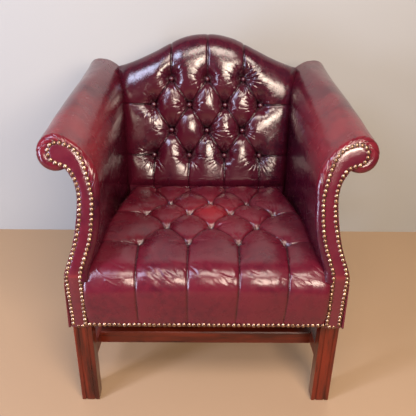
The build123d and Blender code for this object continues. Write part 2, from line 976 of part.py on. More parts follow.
def pleat(start, end, outward, inset):
    """The groove of a pleat between two points of a stuffed surface."""
    run = end - start
    side = outward.cross(run.normalized())
    plane = Plane(origin=start, x_dir=side, z_dir=run)
    return pleat_groove(plane, run.length, inset)


def pit(point, outward, inset):
    """The dimple that a button pulls into the stuffing."""
    plane = Plane(origin=point, x_dir=(1, 0, 0), z_dir=outward)
    rings = [
        (button_radius, -tuft_depth - inset),
        (tuft_radius, -inset),
        (tuft_radius, overrun),
    ]
    if inset == 0:
        rings.insert(1, (tuft_radius / 2, -tuft_depth / 2))
    with BuildPart() as dimple:
        for radius, height in rings:
            with BuildSketch(plane.offset(height)):
                RegularPolygon(radius, button_sides)
        loft(ruled=True)
    return dimple.part


def wrapped_pleat(plane, corner_points, round_radius, inset):
    """A pleat that runs along one face of the stuffing and turns over its rounded edge."""
    with BuildPart() as cutter:
        with BuildLine(plane) as path:
            FilletPolyline(*corner_points, radius=round_radius)
        start = path.line @ 0
        along = path.line % 0
        side = plane.z_dir
        with BuildSketch(Plane(origin=start, x_dir=side.cross(along).cross(along), z_dir=along)):
            with BuildLine():
                Polyline(
                    (0, -pleat_depth - inset),
                    (pleat_half_width, overrun / 2),
                    (-pleat_half_width, overrun / 2),
                    close=True,
                )
            make_face()
        sweep(path=path.line)
    return cutter.part


def tuft_rows(counts, first, row_pitch, pitch, loss=0.0):
    """The across and along places of staggered buttons, row by row."""
    rows = []
    for row, count in enumerate(counts):
        step = pitch - loss * row
        rows.append([((i - (count - 1) / 2) * step, first + row * row_pitch) for i in range(count)])
    return rows


def diamond_pleats(rows):
    """Pairs of neighbouring buttons in neighbouring rows."""
    pairs = []
    for near, far in zip(rows, rows[1:]):
        for a in near:
            for b in far:
                if abs(a[0] - b[0]) < 0.75 * abs(near[1][0] - near[0][0]):
                    pairs.append((a, b))
    return pairs


# The last row lies in the crevice at the back and holds pleats only
seat_rows = tuft_rows(
    (4, 3, 4, 3, 4), behind_front(seat_button_y), seat_row_pitch, seat_button_pitch, seat_pitch_loss
)
seat_button_rows = seat_rows[:-1]
upward = Vector(0, 0, 1)


def seat_point(spot):
    """A spot of the seat's plan, on its surface."""
    return Vector(spot[0], spot[1], seat_height(spot[1], spot[0]))


def seat_cutters(inset):
    """Everything that the buttoning draws out of the seat's crown."""
    cutters = [pit(seat_point(spot), upward, inset) for row in seat_button_rows for spot in row]
    cutters += [
        pleat(seat_point(a), seat_point(b), upward, inset) for a, b in diamond_pleats(seat_rows)
    ]
    for row in (seat_rows[0], seat_rows[2]):
        for spot, side in ((row[0], -1), (row[-1], 1)):
            edge = (spot[0] + side * seat_half_width / 2, spot[1])
            cutters.append(pleat(seat_point(spot), seat_point(edge), upward, inset))
    for spot in seat_rows[-1]:
        edge = (spot[0], behind_front(seat_depth) + overrun)
        cutters.append(pleat(seat_point(spot), seat_point(edge), upward, inset))
    for x, y in seat_rows[0]:
        fall = x**2 / (2 * seat_crown_radius)
        front_pleat = (
            (y, seat_crown - fall - pleat_depth / 2),
            (behind_front(-seat_bulge - pleat_lead), seat_crown - fall - pleat_depth),
            (behind_front(-seat_foot_bulge), leather_bottom - overrun),
        )
        plane = Plane(origin=(x, 0, 0), x_dir=(0, 1, 0), z_dir=(1, 0, 0))
        cutters.append(wrapped_pleat(plane, front_pleat, seat_corner_round, inset))
    return cutters


def seat_body(inset, low):
    """The stuffed seat before buttoning, drawn in by inset, down to a height."""
    axis_z = seat_crown - seat_crown_radius
    lean = radians(seat_half_angle)
    plane = Plane(origin=(0, 0, axis_z), x_dir=(0, 1, 0), z_dir=(cos(lean), 0, sin(lean)))
    side_view = [
        (behind_front(inset - seat_foot_bulge), low - overrun, "corner"),
        (behind_front(inset - seat_foot_bulge), leather_bottom, "corner"),
        (behind_front(inset - seat_bulge * seat_bulge_share), seat_edge_height - seat_bulge_drop, "arc"),
        (behind_front(inset - seat_bulge), seat_edge_height - seat_roll_drop, "corner"),
        (
            behind_front(seat_roll_setback) + inset * seat_roll_share,
            seat_edge_height + seat_roll_rise - inset * seat_roll_share,
            "arc",
        ),
        (seat_corner_y, seat_height(seat_corner_y) - inset, "corner"),
        (seat_top_y, seat_crown - inset, "arc"),
        (behind_front(seat_depth - inset), seat_height(behind_front(seat_depth)) - inset, "corner"),
        (behind_front(seat_depth - inset) - seat_back_step, spring_top, "corner"),
        (behind_front(seat_depth - inset) - seat_back_step, low - overrun, "corner"),
    ]
    with BuildPart() as body:
        with BuildSketch(plane):
            with BuildLine():
                trace([(y, z - axis_z, kind) for y, z, kind in side_view + side_view[:1]])
            make_face()
        revolve(axis=Axis((0, 0, axis_z), (0, 1, 0)), revolution_arc=2 * seat_half_angle)
        add(seat_prism(inset, low, seat_crown + overrun), mode=Mode.INTERSECT)
    return body.part


def seat_form(inset, low):
    """The buttoned seat."""
    return carved(seat_body(inset, low), seat_cutters(inset))


under_skirt = box_between(
    (-reach, front_rail_front - fit_gap, leather_bottom - overrun),
    (reach, reach, seat_skirt),
)
seat_inside = seat_form(leather, leather_bottom - overrun / 2)
seat_cover = without(seat_form(0.0, leather_bottom), seat_inside, under_skirt)
save(seat_cover, "seat_cover")
seat_core = box_between(
    (-reach, front_rail_front - fit_gap, 0), (reach, reach, leg_top + fit_gap)
)
below_pad = box_between((-reach, -reach, 0), (reach, reach, rail_bottom))
seat_pad = without(seat_inside, seat_core, below_pad, burlap_tray(-fit_gap, fit_gap))
save(seat_pad, "seat_pad")

# Inside back: a crowned pad with a humped crest, its buttoned leather and its frame
back_lean = radians(back_rake)
back_slope = Plane(
    origin=(0, behind_front(back_foot_y), back_foot_z),
    x_dir=(1, 0, 0),
    z_dir=(0, -cos(back_lean), sin(back_lean)),
)
back_outward = back_slope.z_dir
outer_back = station_plane(arm_back)


def back_half_width(along):
    """The x of the inside back's side at a distance up its slope."""
    spread = (back_top_half_width - back_low_half_width) / (back_shoulder + back_crown)
    return back_low_half_width + spread * along


def back_surface(x, along):
    """A point on the inside back before buttoning."""
    out = back_crown * (1 - (x / back_top_half_width) ** 2)
    return back_slope.from_local_coords(Vector(x, along, out))


def camel_outline(inset, low, side_inset):
    """The inside back's outline on its slope: straight sides and a humped crest."""
    shoulder = back_shoulder - inset
    side_low = back_half_width(low) - side_inset
    side_high = back_half_width(shoulder) - side_inset
    with BuildLine() as outline:
        hump = ThreePointArc(
            (back_hump_half_width, back_hump - inset),
            (0, back_top - inset),
            (-back_hump_half_width, back_hump - inset),
        )
        left = TangentArc(hump @ 1, (-side_high, shoulder), tangent=hump % 1)
        right = TangentArc(hump @ 0, (side_high, shoulder), tangent=-(hump % 0))
        Line(left @ 1, (-side_low, low))
        Line((-side_low, low), (side_low, low))
        Line((side_low, low), right @ 1)
    return outline.edges()


def before_outer_back(inset):
    """Everything in front of the outside back's inner face."""
    with BuildPart() as room:
        with BuildSketch(outer_back.offset(-inset)):
            Rectangle(2 * reach, 2 * reach)
        extrude(amount=reach)
    return room.part


def back_body(inset, low):
    """The stuffed back before buttoning, drawn in by inset, down to a place on its slope."""
    with BuildPart() as body:
        with BuildSketch(Plane(origin=back_slope.origin, x_dir=(1, 0, 0), z_dir=back_slope.y_dir)):
            with BuildLine():
                ThreePointArc(
                    (-back_top_half_width, inset),
                    (0, inset - back_crown),
                    (back_top_half_width, inset),
                )
                Polyline(
                    (back_top_half_width, inset),
                    (back_top_half_width + overrun, inset + overrun / 10),
                    (back_top_half_width + overrun, reach),
                    (-back_top_half_width - overrun, reach),
                    (-back_top_half_width - overrun, inset + overrun / 10),
                    (-back_top_half_width, inset),
                )
            make_face()
        extrude(amount=reach, both=True)
        with BuildSketch(back_slope):
            make_face(camel_outline(inset, low, inset))
        extrude(amount=reach, both=True, mode=Mode.INTERSECT)
        add(before_outer_back(0.0), mode=Mode.INTERSECT)
        crest = [
            edge
            for edge in body.edges()
            if back_slope.to_local_coords(edge.center()).Y > back_shoulder - inset - leather
            and abs(edge.center().X) < back_top_half_width - leather - inset
        ]
        front = [e for e in crest if back_slope.to_local_coords(e.center()).Z > -back_crown / 2]
        rear = [e for e in crest if back_slope.to_local_coords(e.center()).Z < -back_pad_depth]
        fillet(front, crest_front_round - inset)
        fillet(rear, crest_back_round - inset)
    return body.part


back_rows = tuft_rows((4, 3, 4, 3), back_first_row, back_row_pitch, back_button_pitch)


def crest_along(x):
    """How far up the slope the crest lies over a place across the back."""
    return back_top - (back_top - back_hump) * (x / back_hump_half_width) ** 2


def back_cutters(inset):
    """Everything that the buttoning draws out of the back."""
    cutters = [pit(back_surface(*spot), back_outward, inset) for row in back_rows for spot in row]
    cutters += [
        pleat(back_surface(*a), back_surface(*b), back_outward, inset)
        for a, b in diamond_pleats(back_rows)
    ]
    for row in (back_rows[0], back_rows[2]):
        for spot, side in ((row[0], -1), (row[-1], 1)):
            edge = (spot[0] + side * back_half_width(0) / 2, spot[1])
            cutters.append(pleat(back_surface(*spot), back_surface(*edge), back_outward, inset))
    for spot in back_rows[0]:
        edge = (spot[0], -back_tuck - overrun)
        cutters.append(pleat(back_surface(*spot), back_surface(*edge), back_outward, inset))
    for x, along in back_rows[3]:
        out = back_crown * (1 - (x / back_top_half_width) ** 2)
        crest_pleat = (
            (along, out - pleat_depth / 3),
            (crest_along(x) - pleat_depth / 3, out),
            (crest_along(x), -back_pad_depth - overrun),
        )
        plane = Plane(
            origin=back_slope.from_local_coords(Vector(x, 0, 0)),
            x_dir=back_slope.y_dir,
            z_dir=(1, 0, 0),
        )
        turned = [(a, -b) for a, b in crest_pleat]
        cutters.append(wrapped_pleat(plane, turned, crest_front_round, inset))
    return cutters


def back_form(inset, low):
    """The buttoned back."""
    return carved(back_body(inset, low), back_cutters(inset))


back_inside = back_form(leather, -back_tuck - overrun)

# Frame of the back
def slope_slab(outline, out, thickness):
    """A flat piece parallel to the inside back, from a place out of its slope inward."""
    with BuildPart() as slab:
        with BuildSketch(back_slope.offset(out)):
            make_face(outline)
        extrude(amount=-thickness)
    return slab.part


back_web_out = -back_pad_depth - fit_gap
back_rail_out = back_web_out - web_thickness
crest_rail_low = back_shoulder - crest_rail_cover - crest_rail_side
stile_pair = [back_leg_shape, mirrored(back_leg_shape)]
crest_rail_blank = slope_slab(
    camel_outline(crest_rail_cover, crest_rail_low, -back_leg_width / 2),
    back_rail_out,
    back_rail_thickness,
)
with BuildPart() as tack_rail:
    with BuildSketch(back_slope.offset(back_rail_out)):
        with Locations((0, -tack_rail_height / 2)):
            Rectangle(2 * back_leg_inner + stile_flare / 2, tack_rail_height)
    extrude(amount=-2 * back_rail_thickness)
crest_rail = without(crest_rail_blank, *stile_pair)
back_tack_rail = without(tack_rail.part, *stile_pair)
with BuildPart() as back_webbing:
    with BuildSketch(back_slope.offset(back_web_out)):
        with Locations([(step * back_button_pitch, crest_rail_low / 2) for step in (-1, 0, 1)]):
            Rectangle(web_width, crest_rail_low + tack_rail_height)
    extrude(amount=-web_thickness)
save(back_webbing.part, "back_webbing")
with BuildPart() as below_back:
    with BuildSketch(back_slope.offset(overrun)):
        with Locations((0, -back_tuck - overrun)):
            Rectangle(reach, 2 * overrun)
    extrude(amount=-reach)
back_core = slope_slab(
    camel_outline(crest_rail_cover - fit_gap, -back_tuck - 2 * overrun, -overrun),
    -back_pad_depth,
    reach,
)
seat_room = seat_body(-fit_gap, spring_top / 2)
back_cover = without(
    back_form(0.0, -back_tuck), back_inside, crest_rail, back_tack_rail, seat_room
)
back_pad = without(back_inside, back_core, below_back.part, crest_rail, back_tack_rail, seat_room)
save(back_cover, "back_cover")
save(back_pad, "back_pad")


def buttons(points, outward):
    """Covered buttons standing in the bottoms of their pits."""
    with BuildPart() as group:
        for point in points:
            plane = Plane(origin=point, x_dir=(1, 0, 0), z_dir=outward).offset(-tuft_depth)
            for low, high, foot, head in (
                (0.0, button_height / 2, button_radius - fit_gap, button_radius - 2 * fit_gap),
                (button_height / 2, button_height, button_radius - 2 * fit_gap, button_radius / 2),
            ):
                with BuildSketch(plane.offset(low)):
                    RegularPolygon(foot, button_sides)
                with BuildSketch(plane.offset(high)):
                    RegularPolygon(head, button_sides)
                loft(ruled=True)
    return group.part


save(
    buttons([seat_point(spot) for row in seat_button_rows for spot in row], upward),
    "seat_buttons",
)
save(
    buttons([back_surface(*spot) for row in back_rows for spot in row], back_outward),
    "back_buttons",
)

# Arm posts, cut to the scroll and leaning back above the elbow
stuffing = arm_pad_front + fit_gap
post_cover_side = drawn_in(arm_front, front_cover_shares, stuffing, leg_top, upright=True)[:-1]
post_panel_side = drawn_in(arm_front, front_panel_shares, post_draw, leg_top, upright=True)
post_inner_x = post_cover_side[-1][0]
post_outline = [
    (x, z + elbow_height, kind)
    for x, z, kind in [(post_inner_x, leg_top - elbow_height, "corner")]
    + post_cover_side[::-1]
    + post_panel_side
]
post_front = bent_front(leg_top, arm_reach, facing_thickness + fit_gap)
post_back = bent_front(leg_top, arm_reach, facing_thickness + fit_gap + post_thickness)
post_side = corners(
    *post_front,
    post_back[2],
    (leg_front + post_foot_depth, elbow_height),
    (leg_front + post_foot_depth, leg_top),
)
arm_post_blank = crossing(post_outline, post_side)

# Facings nailed over the post
facing_panel_side = drawn_in(
    arm_front, front_panel_shares, leather + 2 * fit_gap, leather_bottom, upright=True
)
facing_scroll = [
    (arm_front.inner + across * arm_front.width, up * arm_front.height, kind)
    for across, up, kind in facing_shares
]
facing_inner_x = facing_scroll[-1][0]
facing_outline = [
    (x, z + elbow_height, kind)
    for x, z, kind in facing_panel_side[::-1]
    + facing_scroll
    + [(facing_inner_x, leather_bottom - elbow_height, "corner")]
]
facing_side = corners(
    *bent_front(leather_bottom, arm_reach, 0.0),
    *bent_front(leather_bottom, arm_reach, facing_thickness)[::-1],
)
arm_facing = crossing(facing_outline, facing_side)
save_pair(arm_facing, "arm_facing")

# Arm covers, drawn over the roll and down inside the arm
ahead_of_arm = crossing(
    corners((-reach, 0), (reach, 0), (reach, reach), (-reach, reach)),
    corners(
        (behind_front(0), 0),
        (behind_front(0), elbow_height),
        (behind_front(-reach), elbow_height),
        (behind_front(-reach), 0),
    ),
)
with BuildPart() as back_side_wedge:
    low_reach = -back_foot_z / 2
    high_reach = back_top + overrun
    with BuildSketch(back_slope.offset(2 * leather)):
        with BuildLine():
            Polyline(
                (back_half_width(low_reach) + fit_gap, low_reach),
                (back_half_width(high_reach) + fit_gap, high_reach),
                (-back_half_width(high_reach) - fit_gap, high_reach),
                (-back_half_width(low_reach) - fit_gap, low_reach),
                close=True,
            )
        make_face()
    extrude(amount=-reach)
arm_neighbours = (ahead_of_arm, back_side_wedge.part, seat_room, crest_rail, back_tack_rail)
with BuildPart() as arm_cover_blank:
    add(
        arm_band(
            "cover_shares",
            arm_cover_tuck,
            [
                (arm_front, arm_border_depth, 0.0, leather),
                (arm_middle, 0.0, 0.0, leather),
                (arm_back, 0.0, 0.0, leather),
            ],
        )
    )
    add(
        arm_band(
            "cover_shares",
            arm_cover_tuck,
            [
                (arm_front, 0.0, arm_edge_round, arm_edge_round + leather),
                (arm_front, arm_border_depth, 0.0, leather),
            ],
            ruled=True,
        )
    )
    add(
        arm_band(
            "cover_shares",
            arm_cover_tuck,
            [
                (arm_front, 0.0, arm_edge_round, arm_lip),
                (arm_front, leather, arm_edge_round, arm_lip),
            ],
            ruled=True,
        )
    )
arm_cover = main_solid(without(arm_cover_blank.part, arm_facing, *arm_neighbours))
save_pair(arm_cover, "arm_cover")

# Outside arm panels
outside_arm = without(
    arm_band(
        "panel_shares",
        leather_bottom,
        [
            (arm_front, 0.0, 0.0, leather),
            (arm_middle, 0.0, 0.0, leather),
            (arm_back, 0.0, 0.0, leather),
        ],
    ),
    ahead_of_arm,
)
save_pair(outside_arm, "outside_arm")

# Arm rails
def rail_section(station, setback, across, up):
    """The centre of the top rail in an arm section."""
    centre = (station.inner + across * station.width, up * station.height / cos(radians(station.rake)))
    return station_plane(station, setback), centre


rail_start = facing_thickness + post_thickness + 2 * fit_gap
front_end = rail_section(arm_front, rail_start, *arm_rail_front_shares)
back_end = rail_section(arm_back, -back_leg_depth / 2, *arm_rail_back_shares)
with BuildPart() as arm_top_rail_blank:
    for plane, centre in (front_end, back_end):
        with BuildSketch(plane):
            with Locations(centre):
                Rectangle(arm_rail_size, arm_rail_size)
    loft(ruled=True)
    long_edges = arm_top_rail_blank.edges().filter_by(lambda e: e.length > arm_rail_size * 2)
    chamfer(long_edges, arm_rail_chamfer)
arm_top_rail_plain = without(arm_top_rail_blank.part, back_leg_shape, arm_post_blank)
with BuildPart() as arm_tack_rail:
    with BuildSketch(Plane.XY.offset(arm_tack_rail_low)):
        with BuildLine():
            Polyline(
                (arm_tack_front_x, leg_front + post_foot_depth),
                (arm_tack_back_x, leg_front_face + back_leg_depth),
                (arm_tack_back_x - arm_tack_rail_size, leg_front_face + back_leg_depth),
                (arm_tack_front_x - arm_tack_rail_size, leg_front + post_foot_depth),
                close=True,
            )
        make_face()
    extrude(amount=arm_tack_rail_size)
save_pair(without(arm_tack_rail.part, back_leg_shape), "arm_tack_rail")


# Dowels of the frame
def dowel(point, along, slack=0.0):
    """A dowel centred on a point, or with slack its hole."""
    plane = Plane(origin=point, z_dir=along)
    with BuildPart() as pin:
        with BuildSketch(plane):
            RegularPolygon(dowel_radius + slack, pin_sides)
        extrude(amount=dowel_length / 2 + slack, both=True)
    return pin.part


front_plane_at, front_centre = front_end
back_plane_at, back_centre = back_end
rail_front_point = front_plane_at.from_local_coords(Vector(*front_centre, 0))
rail_back_point = back_plane_at.from_local_coords(Vector(*back_centre, 0))
rail_along = (rail_back_point - rail_front_point).normalized()
stile_meet = rail_back_point - rail_along * back_leg_depth / 2
post_dowel_x = leg_inner + tenon_length + dowel_radius + dowel_spacing / 10
post_dowel_y = leg_front + leg_width / 2 - leather / 2
crest_dowel_x = back_leg_inner + stile_flare
dowel_places = [
    ((post_dowel_x, post_dowel_y, leg_top), (0, 0, 1)),
    ((post_dowel_x + dowel_spacing, post_dowel_y, leg_top), (0, 0, 1)),
    (tuple(rail_front_point), tuple(rail_along)),
    (tuple(stile_meet), tuple(rail_along)),
]
for rise in (1, 3):
    spot = Vector(
        crest_dowel_x,
        crest_rail_low + rise * crest_rail_side / 4,
        back_rail_out - back_rail_thickness / 2,
    )
    dowel_places.append((tuple(back_slope.from_local_coords(spot)), (1, 0, 0)))
with BuildPart() as dowels_right:
    for point, along in dowel_places:
        add(dowel(point, along))
dowel_holes = [dowel(point, along, joint_gap) for point, along in dowel_places]
with BuildPart() as frame_dowels:
    add(dowels_right.part)
    mirror(about=Plane.YZ)
save(frame_dowels.part, "frame_dowels")
arm_post = without(arm_post_blank, *dowel_holes)
arm_top_rail = without(arm_top_rail_plain, *dowel_holes)
save_pair(arm_post, "arm_post")
save_pair(arm_top_rail, "arm_top_rail")
save(without(crest_rail, *dowel_holes, *[mirrored(hole) for hole in dowel_holes]), "crest_rail")
save(back_tack_rail, "back_tack_rail")
save_pair(
    without(front_leg_done, block_screw(front_screw_plane, joint_gap), *dowel_holes), "front_leg"
)
save_pair(
    without(back_leg_done, block_screw(back_screw_plane, joint_gap), *dowel_holes), "back_leg"
)

# Arm stuffing
with BuildPart() as arm_pad_blank:
    add(
        arm_band(
            "cover_shares",
            arm_cover_tuck,
            [
                (arm_front, arm_border_depth, leather + fit_gap, arm_pad_front),
                (arm_middle, 0.0, leather + fit_gap, arm_pad_middle),
                (arm_back, 0.0, leather + fit_gap, arm_pad_back),
            ],
        )
    )
    add(
        arm_band(
            "cover_shares",
            arm_cover_tuck,
            [
                (arm_front, leather + fit_gap, arm_edge_round + leather, arm_pad_front),
                (arm_front, arm_border_depth, leather + fit_gap, arm_pad_front),
            ],
            ruled=True,
        )
    )
arm_pad = without(
    arm_pad_blank.part, arm_facing, arm_cover, arm_post_blank, arm_top_rail_plain, back_leg_shape,
    *arm_neighbours,
)
save_pair(arm_pad, "arm_pad")

# Outside back and dust cover
back_stretch = cos(radians(outer_back_rake))


def on_outer_back(x, z):
    """A place on the outside back's plane."""
    return (x, (z - elbow_height) / back_stretch)


edge_inset = leather + fit_gap
panel_edge = drawn_in(arm_back, back_panel_shares, edge_inset, leather_bottom)
roll_edge = drawn_in(arm_back, back_cover_shares, edge_inset, leather_bottom)[:5]
with BuildPart() as outside_back:
    with BuildSketch(outer_back.offset(-fit_gap)):
        half = panel_edge[::-1] + roll_edge
        with BuildLine():
            trace(half)
            crest_start = half[-1][:2]
            shoulder = on_outer_back(back_top_half_width, outer_crest_shoulder)
            Line(crest_start, shoulder)
            ThreePointArc(
                shoulder,
                on_outer_back(0, outer_crest_top),
                (-shoulder[0], shoulder[1]),
            )
            Line((-shoulder[0], shoulder[1]), (-crest_start[0], crest_start[1]))
            trace([(-x, y, kind) for x, y, kind in half[::-1]])
            Line((-half[0][0], half[0][1]), half[0][:2])
        make_face()
    extrude(amount=-leather)
save(outside_back.part, "outside_back")

with BuildPart() as dust_cover:
    with BuildSketch(Plane.XY.offset(rail_bottom - 2 * web_thickness - fit_gap - dust_cloth)):
        half = (
            (leg_inner - dust_margin, front_rail_front + dust_margin),
            (leg_inner - dust_margin, side_rail_front + dust_margin),
            (leg_half_span - 2 * dust_margin, side_rail_front + dust_margin),
            (back_leg_half_span - dust_margin, leg_front_face - dust_margin),
            (back_leg_inner - dust_margin, leg_front_face - dust_margin),
            (back_leg_inner - dust_margin, back_rail_back - dust_margin),
        )
        with BuildLine():
            Polyline(*half, *[(-x, y) for x, y in half[::-1]], close=True)
        make_face()
    extrude(amount=dust_cloth)
save(dust_cover.part, "dust_cover")
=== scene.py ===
"""The visual model of the leather club chair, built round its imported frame.

Shapes are worked out in millimetres in the frame's own axes and written in metres.
"""

from collections import namedtuple
from math import cos, pi, radians, sin, tan

import bpy
import numpy as np
from mathutils import Matrix, Vector, geometry


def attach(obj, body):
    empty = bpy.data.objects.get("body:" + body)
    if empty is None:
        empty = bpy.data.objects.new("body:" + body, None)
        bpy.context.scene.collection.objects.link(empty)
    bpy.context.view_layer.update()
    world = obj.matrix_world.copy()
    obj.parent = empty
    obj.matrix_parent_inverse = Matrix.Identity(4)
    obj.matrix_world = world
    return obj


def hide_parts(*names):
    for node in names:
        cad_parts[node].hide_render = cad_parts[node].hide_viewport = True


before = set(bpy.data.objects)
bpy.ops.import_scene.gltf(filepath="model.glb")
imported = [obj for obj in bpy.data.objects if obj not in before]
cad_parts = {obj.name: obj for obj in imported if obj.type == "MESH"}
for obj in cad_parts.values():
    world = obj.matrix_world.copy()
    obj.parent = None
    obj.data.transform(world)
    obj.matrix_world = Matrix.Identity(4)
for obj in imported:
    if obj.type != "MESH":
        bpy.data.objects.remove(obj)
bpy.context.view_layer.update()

# Planes and leans that the pieces share
MM = 0.001
FRONT = -348.9  # the front plane of the legs and the seat rail
ELBOW = 442.0  # where the arm front starts to lean back
BOTTOM = 276.5  # the lower edge of the leather
FRONT_RAKE = radians(15.8)
BACK_RAKE = radians(17.6)
OUTER_RAKE = radians(12.5)
LATTICE_SIZE = 48
TINY = 1e-6
CLEAR_SHARE = 0.65  # of a lattice step, kept clear along an outline
rng = np.random.default_rng(11)
LATTICE = rng.random((LATTICE_SIZE, LATTICE_SIZE, LATTICE_SIZE))


# Shares and noise
def eased(share):
    """A share from 0 to 1 that starts and ends gently."""
    return share * share * (3 - 2 * share)


def between(value, low, high):
    """How much of the way from low to high a value has come, from 0 to 1."""
    return np.clip((value - low) / (high - low), 0, 1)


def bell(distance, width):
    """A hump that is 1 at no distance and dies away past a width."""
    return np.exp(-((distance / width) ** 2))


def value_noise(points):
    """Smooth noise from -1 to 1 at points given in cells."""
    cell = np.floor(points).astype(int)
    part = eased(points - cell)
    total = 0.0
    for corner in np.ndindex(2, 2, 2):
        weight = 1.0
        for axis in range(3):
            share = part[..., axis]
            weight = weight * (share if corner[axis] else 1 - share)
        spot = [(cell[..., axis] + corner[axis]) % LATTICE_SIZE for axis in range(3)]
        total = total + weight * LATTICE[spot[0], spot[1], spot[2]]
    return total * 2 - 1


def fractal(points, octaves=3, gain=0.5):
    """Several octaves of the noise."""
    total, size, norm = 0.0, 1.0, 0.0
    for step in range(octaves):
        total = total + size * value_noise(points * 2.03**step + 17.3 * step)
        norm += size
        size *= gain
    return total / norm


def waves(a, b, c, octaves, gain=0.5):
    """The same noise from three coordinates in cells, each an array or a number."""
    return fractal(np.stack(np.broadcast_arrays(a, b, c), -1), octaves, gain)


# Curves
def arc_points(a, b, c, count):
    """Points from a through b to c on their circle, without the last."""
    u, v = b - a, c - a
    cross = u[0] * v[1] - u[1] * v[0]
    if abs(cross) < TINY:
        return a + (c - a) * np.linspace(0, 1, count, endpoint=False)[:, None]
    uu, vv = u @ u, v @ v
    centre = a + np.array([v[1] * uu - u[1] * vv, u[0] * vv - v[0] * uu]) / (2 * cross)
    radius = np.hypot(*(a - centre))
    start, middle, end = (np.arctan2(*(point - centre)[::-1]) for point in (a, b, c))
    turn, whole = (middle - start) % (2 * pi), (end - start) % (2 * pi)
    if turn > whole:
        whole -= 2 * pi
    angles = start + whole * np.linspace(0, 1, count, endpoint=False)
    return centre + radius * np.stack([np.cos(angles), np.sin(angles)], -1)


def chain_points(points, counts):
    """A polyline along arcs from every other point through the next, and a straight last run."""
    points = np.array(points, float)
    starts = range(0, len(points) - 2, 2)
    runs = [arc_points(*points[k : k + 3], count) for k, count in zip(starts, counts)]
    last = np.linspace(0, 1, counts[-1], endpoint=False)[:, None]
    runs.append(points[-2] + (points[-1] - points[-2]) * last)
    return np.concatenate([*runs, points[-1:]])


def lengths_along(path):
    """The running length at each point of a polyline."""
    steps = np.linalg.norm(np.diff(path, axis=0), axis=1)
    return np.concatenate([[0.0], np.cumsum(steps)])


def resampled(path, places):
    """The points of a polyline at given lengths along it."""
    along = lengths_along(path)
    return np.stack([np.interp(places, along, path[:, k]) for k in range(path.shape[1])], -1)


def smoothed(path, rounds, fixed=1):
    """A polyline whose inner points are drawn towards their neighbours."""
    path = path.copy()
    for _ in range(rounds):
        inner = 0.25 * path[:-2] + 0.5 * path[1:-1] + 0.25 * path[2:]
        path[fixed : len(path) - fixed] = inner[fixed - 1 : len(inner) - fixed + 1]
    return path


def even(path, count):
    """A polyline respaced evenly, so that points match from one outline to the next."""
    return resampled(path, np.linspace(0, lengths_along(path)[-1], count))


# Meshes
def grid_faces(rows, columns, flip=False):
    """Quads between neighbouring rows and columns."""
    index = np.arange(rows * columns).reshape(rows, columns)
    quads = np.stack([index[:-1, :-1], index[:-1, 1:], index[1:, 1:], index[1:, :-1]], -1)
    quads = quads.reshape(-1, 4)
    return (quads[:, ::-1] if flip else quads).tolist()


def unit(vectors):
    """Vectors scaled to length one."""
    return vectors / np.linalg.norm(vectors, axis=-1, keepdims=True)


def sheet_normals(points, sample, axis):
    """Normals of a grid of points, turned so that a sample one points along an axis."""
    normals = unit(np.cross(np.gradient(points, axis=1), np.gradient(points, axis=0)))
    return -normals if normals[sample][axis] < 0 else normals


def faces_towards(points, faces, direction):
    """Faces that are turned over if the middle one looks away from a direction."""
    a, b, c = (points[i] for i in faces[len(faces) // 2][:3])
    looks_away = np.dot(np.cross(b - a, c - b), direction) < 0
    return mirror_faces(faces) if looks_away else faces


def thickened(front, faces, back):
    """A closed form from a sheet and its other side, point for point."""
    front, back = front.reshape(-1, 3), back.reshape(-1, 3)
    count = len(front)
    edges = {edge: None for face in faces for edge in zip(face, face[1:] + face[:1])}
    walls = [[b, a, a + count, b + count] for a, b in edges if (b, a) not in edges]
    rear = [[i + count for i in face[::-1]] for face in faces]
    return np.concatenate([front, back]), faces + rear + walls


def spaced(edge, gap):
    """An outline without the points that crowd closer than a gap."""
    keep = [edge[0]]
    for point in edge[1:]:
        if np.hypot(*(point - keep[-1])) > gap:
            keep.append(point)
    return np.array(keep)


def filled(edge, step):
    """Triangles that fill a closed outline, with inner points on an even lattice."""
    low, high = edge.min(0), edge.max(0)
    rise = step * sin(pi / 3)
    rows = np.arange(low[1] + rise / 2, high[1], rise)
    columns = np.arange(low[0], high[0], step)
    lattice = np.array([(x + row % 2 * step / 2, y) for row, y in enumerate(rows) for x in columns])
    lattice = lattice[nearest(lattice, edge) > CLEAR_SHARE * step]
    vertices = [Vector(p) for p in np.concatenate([edge, lattice])]
    loop = [(i, (i + 1) % len(edge)) for i in range(len(edge))]
    result = geometry.delaunay_2d_cdt(vertices, loop, [], 1, TINY * 10)
    return np.array([tuple(v) for v in result[0]]), [list(face) for face in result[2]]


def nearest(points, others):
    """The distance from each point to the nearest of some others."""
    return np.hypot(*(points[:, None, :] - others[None]).transpose(2, 0, 1)).min(1)


def add_piece(name, points, faces, material, replaces=(), tints=None, sharp=None):
    """A smooth-shaded piece of the chair from points in millimetres.

    Tints are values for its first points, and the hidden points after them get none.
    """
    mesh = bpy.data.meshes.new(name)
    mesh.from_pydata((np.asarray(points) * MM).tolist(), [], faces)
    for label, values in (tints or {}).items():
        spread = np.zeros(len(points), np.float32)
        spread[: values.size] = values.ravel()
        mesh.attributes.new(label, "FLOAT", "POINT").data.foreach_set("value", spread)
    mesh.shade_smooth()
    if sharp:
        mesh.set_sharp_from_angle(angle=radians(sharp))
    mesh.materials.append(material)
    piece = bpy.data.objects.new(name, mesh)
    bpy.context.scene.collection.objects.link(piece)
    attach(piece, "root")
    if replaces:
        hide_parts(*replaces)
    return piece


def mirror_faces(faces):
    """Faces turned over for a mirrored piece."""
    return [face[::-1] for face in faces]


